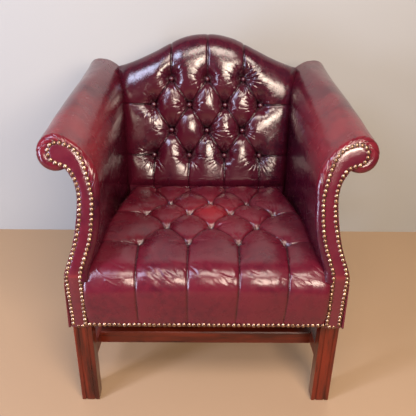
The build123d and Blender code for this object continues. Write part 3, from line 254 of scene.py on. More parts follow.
def both_sides(name, points, faces, material, nodes=(), tints=None, sharp=None):
    """A piece at +X and its mirror image at -X."""
    other = np.asarray(points) * np.array([-1.0, 1.0, 1.0])
    pieces = []
    for side, spots, turned in (("right", points, faces), ("left", other, mirror_faces(faces))):
        own = [f"{node}_{side}" for node in nodes]
        pieces.append(add_piece(f"{name}_{side}", spots, turned, material, own, tints, sharp))
    return pieces


# Materials
class Nodes:
    """A node tree, with short ways to add nodes and to set or link their sockets."""

    def __init__(self, tree):
        self.tree = tree

    def fill(self, node, inputs):
        """Sets each named socket of a node to a value, or links it to another socket."""
        for key, value in inputs.items():
            if isinstance(value, bpy.types.NodeSocket):
                self.tree.links.new(value, node.inputs[key])
            else:
                node.inputs[key].default_value = value
        return node

    def add(self, kind, inputs, **settings):
        """A new node with its settings and its sockets."""
        node = self.tree.nodes.new(kind)
        for key, value in settings.items():
            setattr(node, key, value)
        return self.fill(node, inputs)

    def shade(self, inputs):
        """Sets the sockets of the material's shader."""
        return self.fill(self.tree.nodes["Principled BSDF"], inputs)

    def attribute(self, name):
        """A value that the mesh carries at its points."""
        return self.add("ShaderNodeAttribute", {}, attribute_name=name).outputs["Fac"]

    def noise(self, place, scale, detail, rough, distortion=0.0):
        """Blotches at a scale."""
        inputs = dict(Vector=place, Scale=scale, Detail=detail, Roughness=rough, Distortion=distortion)
        return self.add("ShaderNodeTexNoise", inputs).outputs["Fac"]

    def mixed(self, share, low, high):
        """A colour between two, each a colour or a socket."""
        low, high = ((*c, 1.0) if isinstance(c, tuple) else c for c in (low, high))
        return self.add("ShaderNodeMix", {0: share, 6: low, 7: high}, data_type="RGBA").outputs[2]

    def ramped(self, value, low, high, to_low=0.0, to_high=1.0):
        """A value carried smoothly from one range to another."""
        inputs = {"Value": value, "From Min": low, "From Max": high, "To Min": to_low, "To Max": to_high}
        return self.add("ShaderNodeMapRange", inputs, interpolation_type="SMOOTHSTEP").outputs[0]

    def bumped(self, height, strength, distance, inputs=None):
        """A surface direction raised by a height."""
        inputs = {"Height": height, "Strength": strength, "Distance": distance, **(inputs or {})}
        return self.add("ShaderNodeBump", inputs).outputs["Normal"]


def new_material(name):
    """A node material, its nodes, and the place of a point on its object."""
    material = bpy.data.materials.new(name)
    material.use_nodes = True
    nodes = Nodes(material.node_tree)
    return material, nodes, nodes.add("ShaderNodeTexCoord", {}).outputs["Object"]


def leather(name, deep, plain, worn, bright, worn_share=0.35, gloss=0.3, shine=0.34, glaze=0.42):
    """Glazed hide: blotchy colour, fine grain, brown wear, places rubbed bright red or given a bright
    painted highlight, and painted shade.
    """
    material, nodes, place = new_material(name)
    blotch = nodes.ramped(nodes.noise(place, 7.0, 5.0, 0.55), 0.36, 0.66)
    fine = nodes.ramped(nodes.noise(place, 55.0, 6.0, 0.65), 0.3, 0.72)
    patch = nodes.ramped(nodes.noise(place, 16.0, 5.0, 0.6, 0.4), 0.5, 0.72, 0.0, worn_share)
    mottled = nodes.mixed(fine, nodes.mixed(blotch, deep, plain), plain)
    # A point attribute lifts the colour to the bright red: wear on the seat and arm tops, and a painted
    # highlight along the facings' elbow fold
    worn_and_highlit = nodes.mixed(nodes.attribute("wear_and_highlight"), nodes.mixed(patch, mottled, worn), bright)
    # Painted shade: a point attribute draws the colour towards this near-black tone in creases, button
    # pits and along nail lines
    shadow = tuple(0.15 * c for c in deep)
    cells = {"Vector": place, "Scale": 520.0}
    cells = nodes.add("ShaderNodeTexVoronoi", cells, feature="DISTANCE_TO_EDGE")
    pebbles = nodes.ramped(cells.outputs["Distance"], 0.0, 0.35)
    lines = nodes.ramped(nodes.noise(place, 38.0, 8.0, 0.7, 1.6), 0.47, 0.53)
    swell = nodes.bumped(nodes.noise(place, 24.0, 3.0, 0.5), 0.16, 0.004)
    creased = nodes.bumped(lines, 0.08, 0.0010, {"Normal": swell})
    grain = nodes.bumped(pebbles, 0.07, 0.0006, {"Normal": creased})
    nodes.shade({
        "Base Color": nodes.mixed(nodes.attribute("painted_shade"), worn_and_highlit, shadow),
        "Roughness": nodes.ramped(nodes.noise(place, 28.0, 5.0, 0.6), 0.3, 0.75, gloss, gloss + 0.12),
        "Specular IOR Level": shine,
        "Coat Weight": glaze,
        "Coat Roughness": 0.09,
        "Normal": grain,
        "Coat Normal": grain,
    })
    return material


def timber(name, dark, light, scale, stretch, gloss, coat):
    """Wood with its grain along one axis."""
    material, nodes, place = new_material(name)
    grain = nodes.add("ShaderNodeMapping", {"Scale": stretch, "Vector": place}).outputs["Vector"]
    bands = nodes.noise(grain, scale, 7.0, 0.62, 0.7)
    pores = nodes.noise(grain, scale * 9, 3.0, 0.5)
    tone = nodes.mixed(nodes.ramped(bands, 0.33, 0.68), dark, light)
    pore_share = nodes.ramped(pores, 0.58, 0.74, 0.0, 0.6)
    nodes.shade({
        "Base Color": nodes.mixed(pore_share, tone, tuple(0.4 * c for c in dark)),
        "Roughness": nodes.ramped(bands, 0.3, 0.7, gloss, gloss + 0.14),
        "Specular IOR Level": 0.3,
        "Coat Weight": coat,
        "Coat Roughness": 0.12,
        "Normal": nodes.bumped(pores, 0.15, 0.0006),
    })
    return material


def metal(name, low, high, rough):
    """Aged metal, darker in patches."""
    material, nodes, place = new_material(name)
    spots = nodes.noise(place, 90.0, 2.0, 0.5)
    nodes.shade({
        "Base Color": nodes.mixed(nodes.ramped(spots, 0.35, 0.65), low, high),
        "Roughness": nodes.ramped(spots, 0.3, 0.7, rough + 0.12, rough),
        "Metallic": 1.0,
    })
    return material


def woven(name, dark, light, pitch):
    """Plain weave of coarse yarn."""
    material, nodes, place = new_material(name)
    yarn = {"Vector": place, "Scale": pitch, "Distortion": 0.6}
    warp, weft = (
        nodes.add("ShaderNodeTexWave", yarn, bands_direction=direction).outputs["Fac"]
        for direction in ("X", "Y")
    )
    weave = nodes.add("ShaderNodeMath", {0: warp, 1: weft}, operation="MULTIPLY").outputs[0]
    nodes.shade({
        "Base Color": nodes.mixed(weave, dark, light),
        "Roughness": 0.9,
        "Normal": nodes.bumped(weave, 0.5, 0.0008),
    })
    return material


# Colours of the hide and the polished wood
PLUM = (0.023, 0.0021, 0.0082)
WINE = (0.055, 0.0038, 0.0115)
OXBLOOD = (0.092, 0.0058, 0.0145)
CHERRY = (0.235, 0.0120, 0.0180)
ROSE = (0.150, 0.0105, 0.0165)
BROWN = (0.074, 0.014, 0.019)
POLISH_DARK = (0.027, 0.0022, 0.0006)
POLISH_LIGHT = (0.130, 0.0105, 0.0022)
CROSS_DARK = (0.022, 0.0020, 0.0006)
CROSS_LIGHT = (0.110, 0.011, 0.0025)
hide_red = leather("hide_red", WINE, OXBLOOD, BROWN, CHERRY, 0.22, 0.24, 0.28, 0.40)
hide_dark = leather("hide_dark", WINE, OXBLOOD, BROWN, CHERRY, 0.06, 0.22)
hide_arm = leather("hide_arm", PLUM, WINE, BROWN, ROSE, 0.12, 0.18, 0.20, 0.45)
hide_facing = leather("hide_facing", WINE, OXBLOOD, BROWN, CHERRY, 0.15, 0.16, 0.45, 0.60)
hide_back = leather("hide_back", PLUM, WINE, BROWN, CHERRY, 0.10, 0.17, 0.36, 0.60)
mahogany = timber("mahogany", POLISH_DARK, POLISH_LIGHT, 26.0, (1.0, 1.0, 0.12), 0.26, 0.4)
mahogany_across = timber("mahogany_across", CROSS_DARK, CROSS_LIGHT, 26.0, (0.12, 1.0, 1.0), 0.26, 0.4)
mahogany_along = timber("mahogany_along", POLISH_DARK, POLISH_LIGHT, 26.0, (1.0, 0.12, 1.0), 0.26, 0.4)
beech = timber("beech", (0.42, 0.25, 0.13), (0.62, 0.43, 0.25), 18.0, (0.3, 0.3, 1.0), 0.55, 0.0)
brass = metal("aged_brass", (0.16, 0.088, 0.055), (0.40, 0.27, 0.185), 0.27)
steel = metal("plain_steel", (0.28, 0.28, 0.28), (0.5, 0.5, 0.5), 0.38)
jute = woven("jute", (0.20, 0.14, 0.08), (0.50, 0.39, 0.24), 260.0)
stuffing = woven("stuffing", (0.30, 0.24, 0.16), (0.52, 0.44, 0.32), 420.0)
black_cloth = woven("black_cloth", (0.006, 0.006, 0.006), (0.03, 0.03, 0.03), 500.0)

# Materials of the carried nodes, by how their names start; the rest are beech
CARRIED = (
    (mahogany, ("front_leg", "back_leg")),
    (mahogany_along, ("side_stretcher",)),
    (mahogany_across, ("cross_stretcher", "back_stretcher")),
    (steel, ("foot_glides", "seat_springs")),
    (brass, ("corner_block_screws",)),
    (jute, ("seat_webbing", "back_webbing", "spring_burlap")),
    (black_cloth, ("dust_cover",)),
    (stuffing, ("back_pad", "seat_pad", "arm_pad")),
    (hide_dark, ("outside",)),
)
for name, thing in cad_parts.items():
    chosen = [material for material, starts in CARRIED if name.startswith(starts)]
    thing.data.materials.clear()
    thing.data.materials.append(chosen[0] if chosen else beech)


# Buttoning
FAR = 1e3
WAVER_CELL = 31.0
PLEAT_RISE = 2.2  # how late a pleat deepens towards its button
JOIN_POWER = 4  # how sharply the deepest fold tells where folds meet
PIT_EDGE = 1.35
SPOKE_CELL = 55.0
SPOKE_WIDTH = 0.12
FAN_RADIUS = 15.0
BUTTON_RIM = 9.0


def tuft_rows(counts, first, row_pitch, pitch):
    """The across and along places of staggered buttons, row by row."""
    rows = []
    for row, count in enumerate(counts):
        along = first + row * row_pitch
        rows.append([((i - (count - 1) / 2) * pitch, along) for i in range(count)])
    return rows


def diamond_pleats(rows):
    """Pairs of neighbouring buttons in neighbouring rows."""
    pairs = []
    for near, far in zip(rows, rows[1:]):
        reach = 0.75 * abs(near[1][0] - near[0][0])
        pairs += [(a, b) for a in near for b in far if abs(a[0] - b[0]) < reach]
    return pairs


def side_pleats(rows, reach, rise):
    """Pleats from the end buttons of the two widest rows out to the sheet's sides."""
    return [
        (spot, (side * reach, spot[1] + rise))
        for row in (rows[0], rows[2])
        for spot, side in ((row[0], -1), (row[-1], 1))
    ]


def blurred(values, rounds):
    """A grid of values drawn towards their neighbours again and again."""
    for _ in range(rounds):
        wide = np.pad(values, 1, mode="edge")
        values = (wide[:-2, 1:-1] + 2 * values + wide[2:, 1:-1]) / 4
        wide = np.pad(values, 1, mode="edge")
        values = (wide[1:-1, :-2] + 2 * values + wide[1:-1, 2:]) / 4
    return values


def along_pleat(place, start, end, bend):
    """How far along a pleat each point lies, and its distance from the wavering line."""
    start = np.array(start)
    run = np.array(end) - start
    length = np.hypot(*run)
    share = ((place - start) @ run) / length**2
    held = np.clip(share, 0, 1)
    away = place - (start + held[..., None] * run)
    side = (away[..., 0] * -run[1] + away[..., 1] * run[0]) / length
    offset = np.abs(side + bend * np.sin(held * pi))
    beyond = np.hypot(away[..., 0], away[..., 1])
    return held, np.where((share > 0) & (share < 1), offset, beyond)


def button_marks(x, v, buttons, look):
    """The pits that buttons pull, the painted shade in and above them, and the wrinkles that fan out of
    them.
    """
    pit, pit_shade, fans = (np.zeros(x.shape) for _ in range(3))
    for number, (bx, bv) in enumerate(buttons):
        away_x, away_v = x - bx, v - bv
        distance = np.hypot(away_x, away_v) + TINY
        drawn = np.hypot(away_x, np.where(away_v > 0, away_v * look["upward"], away_v))
        pit = np.maximum(pit, look["pit"] * np.exp(-((drawn / look["pit_width"]) ** PIT_EDGE)))
        # Painted shade in the pit, reaching further up above the button
        pit_shade = np.maximum(pit_shade, bell(drawn, look["pit_shade"]))
        ring_x, ring_v = away_x / distance, away_v / distance
        turned_x = ring_x * look["spokes"] + number * 5.7
        turned_v = ring_v * look["spokes"] + number * 3.1
        spokes = waves(turned_x, turned_v, distance / SPOKE_CELL + number, 2, 0.6)
        groove = bell(spokes, SPOKE_WIDTH) * 1.6 - 0.40
        uneven = 0.75 + 0.9 * waves(ring_x + number, ring_v - number, 5.0, 1)
        envelope = bell(distance - FAN_RADIUS, look["fan"]) * np.clip(distance / BUTTON_RIM, 0, 1)
        fans += look["wrinkle"] * envelope * groove * np.clip(uneven, 0, 1.5)
    return pit, pit_shade, fans


def tufting(x, v, buttons, inner, outer, look):
    """How far the buttoning draws a sheet in, and how much painted shade each point gets in its creases
    and button pits.

    Inner pleats join two buttons, and outer ones run from a button and fade out.
    """
    place = np.stack([x, v], -1)
    gathered, slit = np.zeros(x.shape), np.zeros(x.shape)
    clear = np.full(x.shape, FAR)
    bend = waves(x / WAVER_CELL, v / WAVER_CELL, 3.1, 2) * look["waver"]
    for number, (start, end) in enumerate([*inner, *outer]):
        held, distance = along_pleat(place, start, end, bend)
        if number < len(inner):
            mid = look["mid"]
            depth = mid + (look["end"] - mid) * np.abs(2 * held - 1) ** PLEAT_RISE
        else:
            mid = look["edge_mid"]
            depth = mid + (look["edge_end"] - mid) * (1 - held) ** PLEAT_RISE
            depth = depth * (1 - look["fade"] * held)
        near = np.clip(1 - distance / look["reach"], 0, 1)
        bulge = look["fold"] * (1 - np.sqrt(1 - near**2)) + (1 - look["fold"]) * near**2
        gathered += (depth * bulge) ** JOIN_POWER
        clear = np.minimum(clear, distance)
        slit = np.maximum(slit, np.exp(-distance / look["slit_width"]) * np.clip(depth / mid, 0, 1.6))
    gathered = gathered ** (1 / JOIN_POWER)
    soft = blurred(gathered, look["soft_rounds"])
    gathered = soft + (gathered - soft) * np.exp(-clear / look["crisp"])
    pit, pit_shade, fans = button_marks(x, v, buttons, look)
    drop = gathered + pit * 0.9 + slit * look["slit_depth"]
    # The second value is painted shade along the creases and in the button pits
    return -drop - fans, np.clip(slit * 0.9 + pit_shade * 0.8, 0, 1)


def both_tuftings(first, second):
    """Two buttonings of one sheet, the deeper one telling at each point."""
    drop = np.abs(first[0]) ** JOIN_POWER + np.abs(second[0]) ** JOIN_POWER
    return -(drop ** (1 / JOIN_POWER)), np.maximum(first[1], second[1])


# Seat, with its buttons as places across and behind the front plane
SEAT_BUTTONS = (
    ((-186, 142), (-51, 142), (87, 142), (216, 142)),
    ((-117, 227), (12, 227), (143, 227)),
    ((-180, 305), (-51, 305), (72, 305), (202, 305)),
    ((-113, 367), (14, 367), (125, 367)),
    ((-160, 450), (-52, 452), (60, 452), (166, 450)),
)
FRONT_PLEAT_FEET = (-180, -50, 76, 203)
SEAT_PATH = (
    (0.5, 279), (-10.5, 335), (-15, 388), (4, 438), (55, 463.5), (240, 469), (448, 466), (476, 457),
    (488, 430), (482, 400),
)
SEAT_LOOK = dict(
    waver=1.6, mid=12.0, end=17.0, edge_mid=9.0, edge_end=16.0, fade=0.35, reach=56.0,
    slit_width=1.3, slit_depth=2.4, pit=14.0, pit_width=13.0, spokes=3.2, fan=24.0, wrinkle=2.4,
    fold=0.6, soft_rounds=45, crisp=9.0, upward=1.0, pit_shade=8.0,
)
SEAT_FRONT_LOOK = dict(SEAT_LOOK, edge_mid=6.0, edge_end=14.0, fade=0.1, reach=50.0, waver=0.8)
SEAT_ROWS = 380
SEAT_COLUMNS = 360
FIRST_LEVEL_ROW = 100  # a row past the swelling front, from where the profile runs back
SEAT_TOP_START = 55.0
SEAT_HALF = 309.0
SEAT_START, SEAT_WAIST, SEAT_END = 3.0, 226.0, 482.0
FRONT_TAPER = 16.0
REAR_TAPER = 40.5
SEAT_CAMBER = 13000.0
SEAT_LIMIT = 470.5
SEAT_UNDER = 398.0
seat_rows = [[(float(x), FRONT + y) for x, y in row] for row in SEAT_BUTTONS]
seat_profile = smoothed(even(chain_points(SEAT_PATH, (40, 40, 120, 24, 12)), SEAT_ROWS), 14)


def seat_half_width(y):
    """Half the seat's width at a distance behind the front plane."""
    forward = FRONT_TAPER * ((y - SEAT_START) / (SEAT_WAIST - SEAT_START))
    rear = REAR_TAPER * np.clip((y - SEAT_WAIST) / (SEAT_END - SEAT_WAIST), 0, 2) ** 1.3
    return np.minimum(SEAT_HALF - forward - rear, SEAT_HALF) + 5.0 * between(2.0 - y, 0, 3.0)


def seat_lift(x, v, y, z, from_edge):
    """How far the seat's buttons, drawn-in sides and wrinkles move its skin, and the painted shade in
    its creases.
    """
    buttons = [spot for row in seat_rows[:-1] for spot in row]
    outer = side_pleats(seat_rows, 300.0, 4.0)
    outer += [(spot, (spot[0], v[-1, 0])) for spot in seat_rows[-1]]
    feet = zip(seat_rows[0], FRONT_PLEAT_FEET)
    down = [(spot, (foot, v[0, 0] - 5)) for spot, foot in feet]
    top = tufting(x, v, buttons, diamond_pleats(seat_rows), outer, SEAT_LOOK)
    front = tufting(x, v, [], [], down, SEAT_FRONT_LOOK)
    drop, painted_shade = both_tuftings(top, front)
    side_round = 17.0 * (1 - between(from_edge, 0, 26.0)) ** 2.4
    side_round = side_round * np.clip(0.25 + (y - 20.0) / 130.0, 0.25, 1)
    on_top = between(z, 405, 445)
    side_drop = side_round * on_top + 5.0 * np.exp(-from_edge / 5.0) * (1 - on_top)
    ripple = waves(x / 70, v / 95, 9.0, 3) * 1.6
    pull = np.abs(waves(x / 30 + (v - FRONT) / 26, v / 55, x / 60, 2))
    pull = bell(pull, 0.10) * waves(x / 60, v / 40, 6.0, 2)
    band = bell(v - FRONT - 6, 30)
    return (drop + ripple - 3.2 * pull * band) * between(z, 277, 303) - side_drop, painted_shade


def build_seat():
    """The buttoned seat, one closed form, and its button places."""
    y, z = seat_profile[:, :1], seat_profile[:, 1:]
    along = lengths_along(seat_profile)
    share = np.linspace(-1, 1, SEAT_COLUMNS)
    half = seat_half_width(y)
    x = half * (0.35 * np.sin(share * pi / 2) + 0.65 * share)
    height = z - x**2 / SEAT_CAMBER * between(z, 300, 420)
    points = np.stack(np.broadcast_arrays(x, y + FRONT, height), -1)
    normals = sheet_normals(points, (SEAT_ROWS // 2, SEAT_COLUMNS // 2), 2)
    level_y, level_along = y[FIRST_LEVEL_ROW:, 0], along[FIRST_LEVEL_ROW:]
    top_start = np.interp(SEAT_TOP_START, level_y, level_along)
    v = np.broadcast_to((FRONT + SEAT_TOP_START + (along - top_start))[:, None], x.shape)
    lift, painted_shade = seat_lift(x, v, y, z, half - np.abs(x))
    points = points + normals * lift[..., None]
    points[..., 2] = np.minimum(points[..., 2], SEAT_LIMIT)
    at_front = along[:, None] < np.interp(30.0, level_y, level_along)
    under = np.where(at_front, np.minimum(z, SEAT_UNDER), SEAT_UNDER)
    under = np.minimum(under, points[..., 2] - 4 * (z > 300))
    under_y = np.clip(y, 8.5, 470.0) + FRONT
    inside = np.stack(np.broadcast_arrays(np.clip(x, 4 - half, half - 4), under_y, under), -1)
    diamond = np.abs(x - 12) / 66 + np.abs(v - FRONT - 298) / 74
    wear_and_highlight = np.clip(1.25 - diamond, 0, 1) * 0.62 + 0.26 * bell(x - 12, 120)
    wear_and_highlight = wear_and_highlight * bell(v - FRONT - 310, 95)
    faces = grid_faces(SEAT_ROWS, SEAT_COLUMNS, flip=True)
    spots, faces = thickened(points, faces, inside)
    tints = {"painted_shade": painted_shade, "wear_and_highlight": wear_and_highlight}
    piece = add_piece("seat", spots, faces, hide_red, ("seat_cover", "seat_pad"), tints)
    places = []
    for across, behind in (spot for row in seat_rows[:-1] for spot in row):
        row = int(np.argmin(np.abs(v[:, 0] - behind)))
        column = int(np.argmin(np.abs(x[row] - across)))
        places.append(points[row, column] - np.array([0.0, 0.0, 1.0]))
    return places


# Inside back, worked out in its own slope: across, up the slope and out of it
BACK_FOOT_Y, BACK_FOOT_Z = 499.0, 457.0
OUTER_FOOT_Y = 581.0
BACK_ORIGIN = np.array([0.0, FRONT + BACK_FOOT_Y, BACK_FOOT_Z])
BACK_UP = np.array([0.0, sin(BACK_RAKE), cos(BACK_RAKE)])
BACK_OUT = np.array([0.0, -cos(BACK_RAKE), sin(BACK_RAKE)])
BACK_CROWN = 16.0
CREST_ROUND = 46.0
CREST_RISE = 84.0
BACK_LOW = -50.0
BACK_CORE = -43.0
BACK_COLUMNS = 350
BACK_ROWS = 390
BACK_FLAT_ROWS = 280
BACK_ROLL_ROWS = 80
BACK_TOP_HALF = 291.0
BACK_LOW_HALF = 262.0
HUMP_HALF = 128.0
HUMP_RADIUS = 258.0
BUTTON_SINK = 29.0
BACK_LOOK = dict(
    SEAT_LOOK, waver=2.0, mid=13.0, end=20.0, edge_mid=7.0, edge_end=18.0, fade=0.5, reach=52.0,
    slit_width=1.5, slit_depth=3.0, pit=20.0, pit_width=16.5, spokes=3.7, fan=26.0, wrinkle=2.7,
    fold=0.55, upward=0.50, pit_shade=15.0,
)
BACK_TOP_LOOK = dict(BACK_LOOK, edge_mid=2.5, edge_end=17.0, fade=0.5, reach=44.0, waver=0.8)


def crest_height(x):
    """How far up the slope the back's crest lies."""
    x = np.abs(x)
    hump = 212.0 + np.sqrt(np.maximum(HUMP_RADIUS**2 - np.minimum(x, HUMP_HALF) ** 2, 0))
    side = 436.0 - 0.571 * (x - HUMP_HALF) + 0.000945 * (x - HUMP_HALF) ** 2
    return np.where(x < HUMP_HALF, hump, side)


def outer_back_gap(along):
    """How far behind the slope the outside back lies at a distance up it."""
    z = BACK_FOOT_Z + along * cos(BACK_RAKE)
    y_in = BACK_FOOT_Y + along * sin(BACK_RAKE)
    y_out = OUTER_FOOT_Y + (z - BOTTOM) * tan(OUTER_RAKE)
    return (y_out - y_in) * cos(OUTER_RAKE) / cos(BACK_RAKE - OUTER_RAKE)


def on_slope(points):
    """Points of the back's slope in the frame."""
    across = points[..., :1] * np.array([1.0, 0, 0])
    return BACK_ORIGIN + across + points[..., 1:2] * BACK_UP + points[..., 2:] * BACK_OUT


def back_column(share):
    """One upright line of the back's plain skin: up its face, over its crest and down behind.

    Each point has its place across, up and out, the length run from the foot, and the half width.
    """
    crest = float(crest_height(share * BACK_TOP_HALF))
    shoulder = crest - CREST_RISE
    crown = BACK_CROWN * (1 - share**2)
    rest_rows = BACK_ROWS - BACK_FLAT_ROWS - BACK_ROLL_ROWS
    flat = np.linspace(BACK_LOW, shoulder, BACK_FLAT_ROWS, endpoint=False)
    turn = np.linspace(0, pi / 2, BACK_ROLL_ROWS, endpoint=False)
    roll_up = shoulder + CREST_RISE * np.sin(turn)
    roll_out = crown - CREST_ROUND * (1 - np.cos(turn))
    rear_out = np.linspace(crown - CREST_ROUND, -outer_back_gap(crest) + 4.5, rest_rows)
    steps = np.hypot(np.diff(roll_up, prepend=roll_up[0]), np.diff(roll_out, prepend=roll_out[0]))
    rolled = shoulder + np.cumsum(steps)
    run = np.concatenate([flat, rolled, rolled[-1] + (crown - CREST_ROUND - rear_out)])
    up = np.concatenate([flat, roll_up, np.full(rest_rows, crest)])
    out = np.concatenate([np.full(BACK_FLAT_ROWS, crown), roll_out, rear_out])
    half = BACK_LOW_HALF + (BACK_TOP_HALF - BACK_LOW_HALF) * np.clip(up / 385.0, -0.2, 1.0)
    return np.stack([share * half, up, out, run, half], -1)


def build_back():
    """The buttoned back with its humped crest, one closed form, and its button places."""
    rows = tuft_rows((4, 3, 4, 3), 88.0, 80.9, 114.0)
    share = np.linspace(-1, 1, BACK_COLUMNS)
    share = 0.3 * np.sin(share * pi / 2) + 0.7 * share
    data = np.stack([back_column(one) for one in share], 1)
    x, up, out, run, half = (data[..., k] for k in range(5))
    skin = data[..., :3]
    normals = sheet_normals(skin, (60, BACK_COLUMNS // 2), 2)
    outer = side_pleats(rows, 285.0, 3.0)
    outer += [(spot, (spot[0] * 1.02, -60.0)) for spot in rows[0]]
    top = [(spot, (spot[0] * 1.02, crest_height(spot[0]) + 70.0)) for spot in rows[3]]
    buttons = [spot for row in rows for spot in row]
    drop, painted_shade = both_tuftings(
        tufting(x, run, buttons, diamond_pleats(rows), outer, BACK_LOOK),
        tufting(x, run, [], [], top, BACK_TOP_LOOK),
    )
    side_drop = 24.0 * (1 - between(half - np.abs(x), 0, 46.0)) ** 2.6
    tuck = 15.0 * (1 - between(up, -12.0, 24.0)) ** 2
    ripple = waves(x / 60, run / 80, 5.0, 3) * 1.4
    lift = drop + ripple - np.maximum(side_drop, tuck) * np.clip(normals[..., 2], 0, 1)
    skin = skin + normals * lift[..., None]
    over_crest = crest_height(x / half * BACK_TOP_HALF) - 23.0
    inner_up = np.where(out < BACK_CORE, over_crest, np.minimum(up, crest_height(x) - 25.0))
    inner = np.stack([np.clip(x, 5 - half, half - 5), inner_up, np.minimum(out, BACK_CORE)], -1)
    faces = grid_faces(BACK_ROWS, BACK_COLUMNS)
    spots, faces = thickened(on_slope(skin), faces, on_slope(inner))
    nodes = ("back_cover", "back_pad")
    piece = add_piece("inside_back", spots, faces, hide_back, nodes, {"painted_shade": painted_shade})
    across, height = np.array(buttons).T
    sunk = BACK_CROWN * (1 - (across / BACK_TOP_HALF) ** 2) - BUTTON_SINK
    return on_slope(np.stack([across, height, sunk], -1))


# Nail and button heads
HEAD_RINGS = 6
SKEWED = np.array([0.13, 0.31, 0.94])  # a direction that no head faces


def dome(radius, height, sides, centre, out, spin):
    """A round head standing on a plane."""
    aside = unit(np.cross(out, SKEWED))
    turn = (spin + 2 * pi * np.arange(sides) / sides)[:, None]
    ring = np.cos(turn) * aside + np.sin(turn) * np.cross(out, aside)
    rises = [pi / 2 * step / HEAD_RINGS for step in range(HEAD_RINGS)]
    points = [centre + radius * cos(rise) * ring + out * height * sin(rise) for rise in rises]
    loop = [(k, (k + 1) % sides) for k in range(sides)]
    starts = range(0, (HEAD_RINGS - 1) * sides, sides)
    faces = [[s + a, s + b, s + b + sides, s + a + sides] for s in starts for a, b in loop]
    last = (HEAD_RINGS - 1) * sides
    faces += [[last + a, last + b, last + sides] for a, b in loop]
    faces.append(list(range(sides))[::-1])
    return np.concatenate([*points, (centre + out * height)[None]]), faces


def heads(name, places, radius, height, sides, material, replaces=()):
    """Many heads in one piece, each at a place with its own outward direction."""
    all_points, all_faces, count = [], [], 0
    for number, (centre, out) in enumerate(places):
        points, faces = dome(radius, height, sides, centre, unit(out), number * 1.3)
        all_points.append(points)
        all_faces += [[i + count for i in face] for face in faces]
        count += len(points)
    return add_piece(name, np.concatenate(all_points), all_faces, material, replaces)


# Arm sections across the arm, at their planes along it. An outline's points are shares of the
# width and the height over the elbow, with the way that they face in degrees, and the last
# one is the foot, whose height is given apart.
Station = namedtuple("Station", "y rake inner width height cover panel")
PANEL_LEATHER = 2.8
MIDDLE_SHARE = 0.47  # where the middle section lies along the arm
MIDDLE_Y = 300.0
MIDDLE_RAKE = radians(16.7)
STATIONS = {
    "front": Station(
        FRONT, FRONT_RAKE, 266.0, 150.0, 344.0,
        (
            (0.53, 0.76, -122), (0.8, 0.748, -70), (0.99, 0.848, -10), (0.905, 0.963, 45),
            (0.64, 1, 100), (0.205, 0.875, 147), (0, 0.55, 180), (0.045, 0.275, 190),
            (0.22, 0.045, 200), (0.22, 0, 180),
        ),
        (
            (0.507, 0.747, -35), (0.39, 0.657, -14), (0.36, 0.547, 0), (0.467, 0.23, 18),
            (0.637, 0, 10), (0.66, 0, 0),
        ),
    ),
    "middle": Station(
        FRONT + MIDDLE_Y, MIDDLE_RAKE, 264.0, 135.0, 362.0,
        (
            (0.47, 0.763, -122), (0.77, 0.75, -70), (0.988, 0.848, -10), (0.893, 0.96, 45),
            (0.593, 1, 100), (0.19, 0.87, 147), (0, 0.547, 180), (0.02, 0.285, 188),
            (0.09, 0.044, 194), (0.09, 0, 180),
        ),
        (
            (0.448, 0.746, -10), (0.448, 0.663, -4), (0.467, 0.547, 2), (0.526, 0.243, 6), (0.6, 0, 6),
            (0.58, 0, 0),
        ),
    ),
    "back": Station(
        FRONT + OUTER_FOOT_Y + (ELBOW - BOTTOM) * tan(OUTER_RAKE) - PANEL_LEATHER / cos(OUTER_RAKE),
        OUTER_RAKE, 258.0, 130.0, 366.0,
        (
            (0.62, 0.8, -100), (0.85, 0.812, -62), (1, 0.905, 0), (0.918, 0.974, 45), (0.674, 1, 95),
            (0.25, 0.944, 130), (0.073, 0.704, 176), (0.029, 0.35, 182), (-0.058, 0.044, 184),
            (-0.058, 0, 180),
        ),
        (
            (0.612, 0.786, 0), (0.599, 0.69, 2), (0.577, 0.541, 3), (0.542, 0.268, 3), (0.508, 0, 3),
            (0.438, 0, 0),
        ),
    ),
}
COVER_COUNTS = (34, 34, 60, 44, 26)
PANEL_COUNTS = (30, 40, 26)
COVER_FEET = {"front": 426.0, "middle": 372.0, "back": 372.0}
ARM_AROUND = 220
ARM_LONG = 150
ARM_WALL = 12.0
PANEL_GRID = 110
ARM_FOLDS = (96.0, 131.0, 158.0, 186.0, 236.0, 262.0, 300.0)

# The cover's front edge, turned in under its nails: how far back and how far in, row by row
ARM_EDGE = (
    (2.5, 29), (1.6, 26), (0.6, 22), (-0.6, 18.5), (-1, 15.5), (-0.6, 12.5), (0.4, 9.6), (1.8, 6.9),
    (3.6, 4.4), (5.8, 2.4), (8.6, 0.8),
)
ARM_EDGE_INSIDE = (
    (4, 29), (4.6, 26.5), (5.4, 23.5), (6.4, 21), (7.4, 19), (8.4, 17), (9.4, 15.6), (10.4, 14.4),
    (11.4, 13.4), (12.4, 12.6), (13.6, 12.2),
)


def section(station, chain, inset, foot_z, counts):
    """An arm outline in its station's leaning plane, drawn in by inset, down to its foot."""
    across, up, facing = np.array(chain).T
    x = station.inner + across * station.width - inset * np.cos(np.radians(facing))
    rise = up * station.height - inset * np.sin(np.radians(facing))
    rise[-1] = foot_z - ELBOW
    return chain_points(np.stack([x, rise / cos(station.rake)], -1), counts)


def in_space(station, outline, setback=0.0):
    """A section's points in the frame, moved back square to their plane."""
    lean, upright = sin(station.rake), cos(station.rake)
    y = station.y + outline[:, 1] * lean + setback * upright
    z = ELBOW + outline[:, 1] * upright - setback * lean
    return np.stack([outline[:, 0], y, z], -1)


def arm_outline(name, inset=0.0):
    """The cover's outline at a station, with smooth joins between its arcs."""
    station = STATIONS[name]
    outline = section(station, station.cover, inset, COVER_FEET[name], COVER_COUNTS)
    return smoothed(even(outline, ARM_AROUND), 8, 2)


